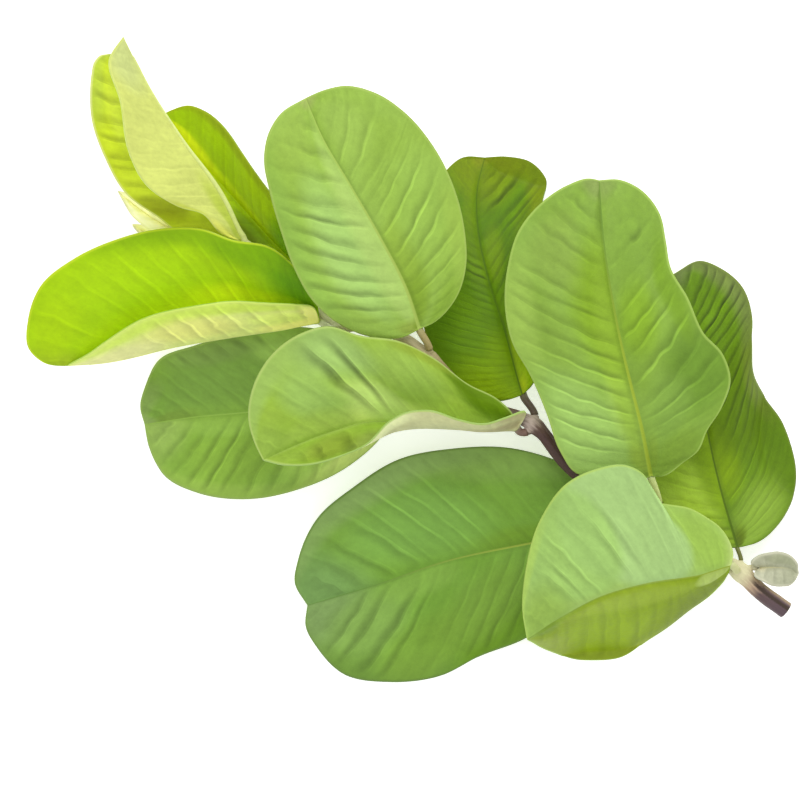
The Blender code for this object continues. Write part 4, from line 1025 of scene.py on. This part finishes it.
def barkMaterial(length):
    material, shader, wire = newMaterial("bark")
    place = stemPlace(wire)
    across, _, along = place.parts()
    along = along / length
    streakPlace = place.times(bark["stretch"])
    streaks = clouds(streakPlace, bark["streakScale"], bark["streakDetail"], bark["streakRoughness"])
    grain = clouds(place, bark["grainScale"], bark["grainDetail"])
    tone = wire.node("ShaderNodeValToRGB", {}, {0: along + (streaks - 0.5) * bark["waver"]})
    ramp = tone.socket.node.color_ramp
    for index, (at, text) in enumerate(bark["stops"]):
        stop = ramp.elements[index] if index < 2 else ramp.elements.new(at)
        stop.position = at
        stop.color = colour(text)
    tone = tone.scaled(bark["lightLeast"] + streaks * bark["lightSpread"])
    tone = tone.blend(colour(bark["crack"]), streaks.rise(*bark["cracks"]) * bark["crackCover"])
    farSide = across / twig["mapRadius"]                 # -1 on the near side, 1 on the far side
    nearCut = 1 - along.rise(*bark["nearCut"])
    fromSeam = abs(farSide - bark["seamAt"] + (grain - 0.5) * bark["seamSway"])
    tone = tone.blend(colour(bark["seam"]), (1 - fromSeam.rise(*bark["seamWidth"])) * nearCut)
    tone = tone.blend(colour(bark["farSide"]), farSide.rise(*bark["far"]) * nearCut * bark["farCover"])
    tone.scaled(skin["light"]).into(shader, "Base Color")
    bumped(shader, streaks + grain * bark["grainRelief"], bark["bump"], bark["bumpDepth"])
    (bark["roughness"] + grain * bark["roughnessSpread"]).into(shader, "Roughness")
    return material


def cutMaterial():
    material, shader, wire = newMaterial("cut_wood")
    rings = clouds(stemPlace(wire), bark["ringScale"], bark["ringDetail"])
    wire.mix(rings, colour(bark["cut"]), colour(bark["cutRings"])).into(shader, "Base Color")
    shader.inputs["Roughness"].default_value = bark["cutRoughness"]
    return material


def stemLine():                                          # points along the stem, and its radius at each
    stem = np.array(twig["stem"], float)
    line = smoothLine(stem[:, :3])
    radii = smoothLine(np.stack([np.arange(len(stem)), stem[:, 3]], axis=1))[:, 1]
    for index in twig["nodes"].values():
        away = np.linalg.norm(line - stem[index, :3], axis=1)
        radii = radii * (1 + twig["swell"] * np.exp(-(away / twig["swellLength"]) ** 2))
    radii[0] = radii[-1] = 0
    return line, radii


def makeCushion(leaf):
    node, out, reach = stalkStart(leaf)
    t = np.linspace(0, 1, twig["cushionSteps"])[:, None]
    width = leaf["stalkRadius"] + twig["cushionExtra"] + twig["cushionFoot"] * (1 - t[:, 0] ** 3)
    width[0] = width[-1] = 0
    return tubePiece("cushion", node + out * reach * t, width, twig["cushionSides"])


def roundStem(points, line):                             # each point's way out, turn and length along it
    nearest = np.concatenate([np.argmin(((line[None] - part[:, None]) ** 2).sum(2), axis=1)
                              for part in np.array_split(points, twig["batches"])])
    heading = unit(np.gradient(line, axis=0))
    away = points - line[nearest]
    side = unit(np.cross(heading, (0, 0, 1)))[nearest]
    above = np.cross(side, heading[nearest])
    turn = np.arctan2((away * above).sum(1), (away * side).sum(1))
    return away, turn, lengthAlong(line)[nearest] + (away * heading[nearest]).sum(1)


def markCut(mesh, line):                                 # the faces of the cut end get the second material
    heading = unit(line[1] - line[0])
    centres = np.array([face.center for face in mesh.polygons]) / mm
    facing = np.array([face.normal for face in mesh.polygons]) @ -heading
    nearEnd = np.linalg.norm(centres - line[0], axis=1) < twig["cutReach"]
    for face, cut in zip(mesh.polygons, (facing > twig["cutFacing"]) & nearEnd):
        face.material_index = int(cut)


def makeTwig():
    line, radii = stemLine()
    length = lengthAlong(line)[-1]
    pieces = [tubePiece("twig_fine", line, radii, twig["sides"])]
    pieces.extend(makeCushion(leaf) for leaf in leaves.values())
    piece = joined(pieces)
    piece.data.remesh_voxel_size = twig["voxel"] * mm
    bpy.ops.object.voxel_remesh()
    applied(piece, "SMOOTH", twig["smoothing"])
    bpy.ops.object.shade_smooth()

    # The bark's place on the stem, and its ridges
    mesh = piece.data
    points = np.zeros(len(mesh.vertices) * 3, np.float32)
    mesh.vertices.foreach_get("co", points)
    points = points.reshape(-1, 3) / mm
    away, turn, along = roundStem(points, line)
    place = np.stack([np.cos(turn) * twig["mapRadius"], np.sin(turn) * twig["mapRadius"], along], axis=1)
    layer = mesh.attributes.new("stemPlace", "FLOAT_VECTOR", "POINT")
    layer.data.foreach_set("vector", place.astype(np.float32).ravel())
    sway = ripple(along, turn, twig["ridgeSwaySize"], twig["swaySeed"]) * twig["ridgeSway"]
    ridges = np.sin(turn * twig["ridges"] + sway)
    rough = ripple(along, turn * twig["roughTurns"], twig["roughSize"], twig["roughSeed"])
    square = twig["squareness"] * along / length * np.cos(twig["corners"] * turn)
    moved = points + unit(away) * (twig["ridgeDepth"] * (ridges + rough) + square)[:, None]
    mesh.vertices.foreach_set("co", (moved * mm).astype(np.float32).ravel())
    mesh.materials.clear()
    mesh.materials.append(barkMaterial(length))
    mesh.materials.append(cutMaterial())
    markCut(mesh, line)
    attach(piece, "root")
    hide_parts("twig")
    print("twig made:", len(mesh.polygons), "faces")


makeTwig()


# Stage: a pale floor, soft light and the camera over the twig. Pixels are the photograph's and the
# picture's, lengths in metres but for the camera's heights and a pixel, which are in millimetres.
stage = {
    "pixel": 0.32, "photoMiddle": (413, 360), "pictureMiddle": (400, 400), "pictureWidth": 800,
    "cameraHeight": 8000, "sharpHeight": 25, "clipEnd": 30,
    "floorSize": 4.0, "floorSquares": 8, "floorDrop": 0.0001,
    "floor": "#F7F7F5", "floorRoughness": 0.9, "floorGlow": 0.5,
    "sky": "#F6FAFF", "skyStrength": 0.95,
    "lights": {
        "key": {"place": (0.25, 1.15, 1.35), "size": 1.2, "power": 16.0},
        "fill": {"place": (-1.2, -0.9, 1.4), "size": 1.4, "power": 4.0},
    },
}


def makeFloor():
    deselectAll()
    squares = stage["floorSquares"]
    bpy.ops.mesh.primitive_grid_add(x_subdivisions=squares, y_subdivisions=squares,
                                    size=stage["floorSize"], location=(0, 0, -stage["floorDrop"]))
    floor = bpy.context.object
    floor.name = "floor"
    material, shader, _ = newMaterial("floor")
    shader.inputs["Base Color"].default_value = colour(stage["floor"])
    shader.inputs["Roughness"].default_value = stage["floorRoughness"]
    shader.inputs["Emission Color"].default_value = colour(stage["floor"])
    shader.inputs["Emission Strength"].default_value = stage["floorGlow"]
    floor.data.materials.append(material)


def makeLights():                                        # soft sky light, and lamps that face the middle
    world = bpy.data.worlds.new("sky")
    world.use_nodes = True
    background = world.node_tree.nodes["Background"]
    background.inputs["Color"].default_value = colour(stage["sky"])
    background.inputs["Strength"].default_value = stage["skyStrength"]
    bpy.context.scene.world = world
    for name, lamp in stage["lights"].items():
        bpy.ops.object.light_add(type="AREA", location=lamp["place"])
        light = bpy.context.object
        light.name = name
        light.data.size = lamp["size"]
        light.data.energy = lamp["power"]
        light.visible_camera = False
        x, y, z = lamp["place"]
        light.rotation_euler = (math.atan2(math.hypot(x, y), z), 0, math.atan2(x, -y))


def makeCamera():
    x, y = ((a - b) * stage["pixel"] * mm for a, b in zip(stage["pictureMiddle"], stage["photoMiddle"]))
    bpy.ops.object.camera_add(location=(x, -y, stage["cameraHeight"] * mm), rotation=(0, 0, 0))
    camera = bpy.context.object
    camera.name = "camera"
    width = stage["pictureWidth"] * stage["pixel"]
    camera.data.lens = camera.data.sensor_width * (stage["cameraHeight"] - stage["sharpHeight"]) / width
    camera.data.clip_end = stage["clipEnd"]
    bpy.context.scene.camera = camera
    bpy.context.scene.view_settings.view_transform = "Standard"


makeFloor()
makeLights()
makeCamera()
print("stage made")
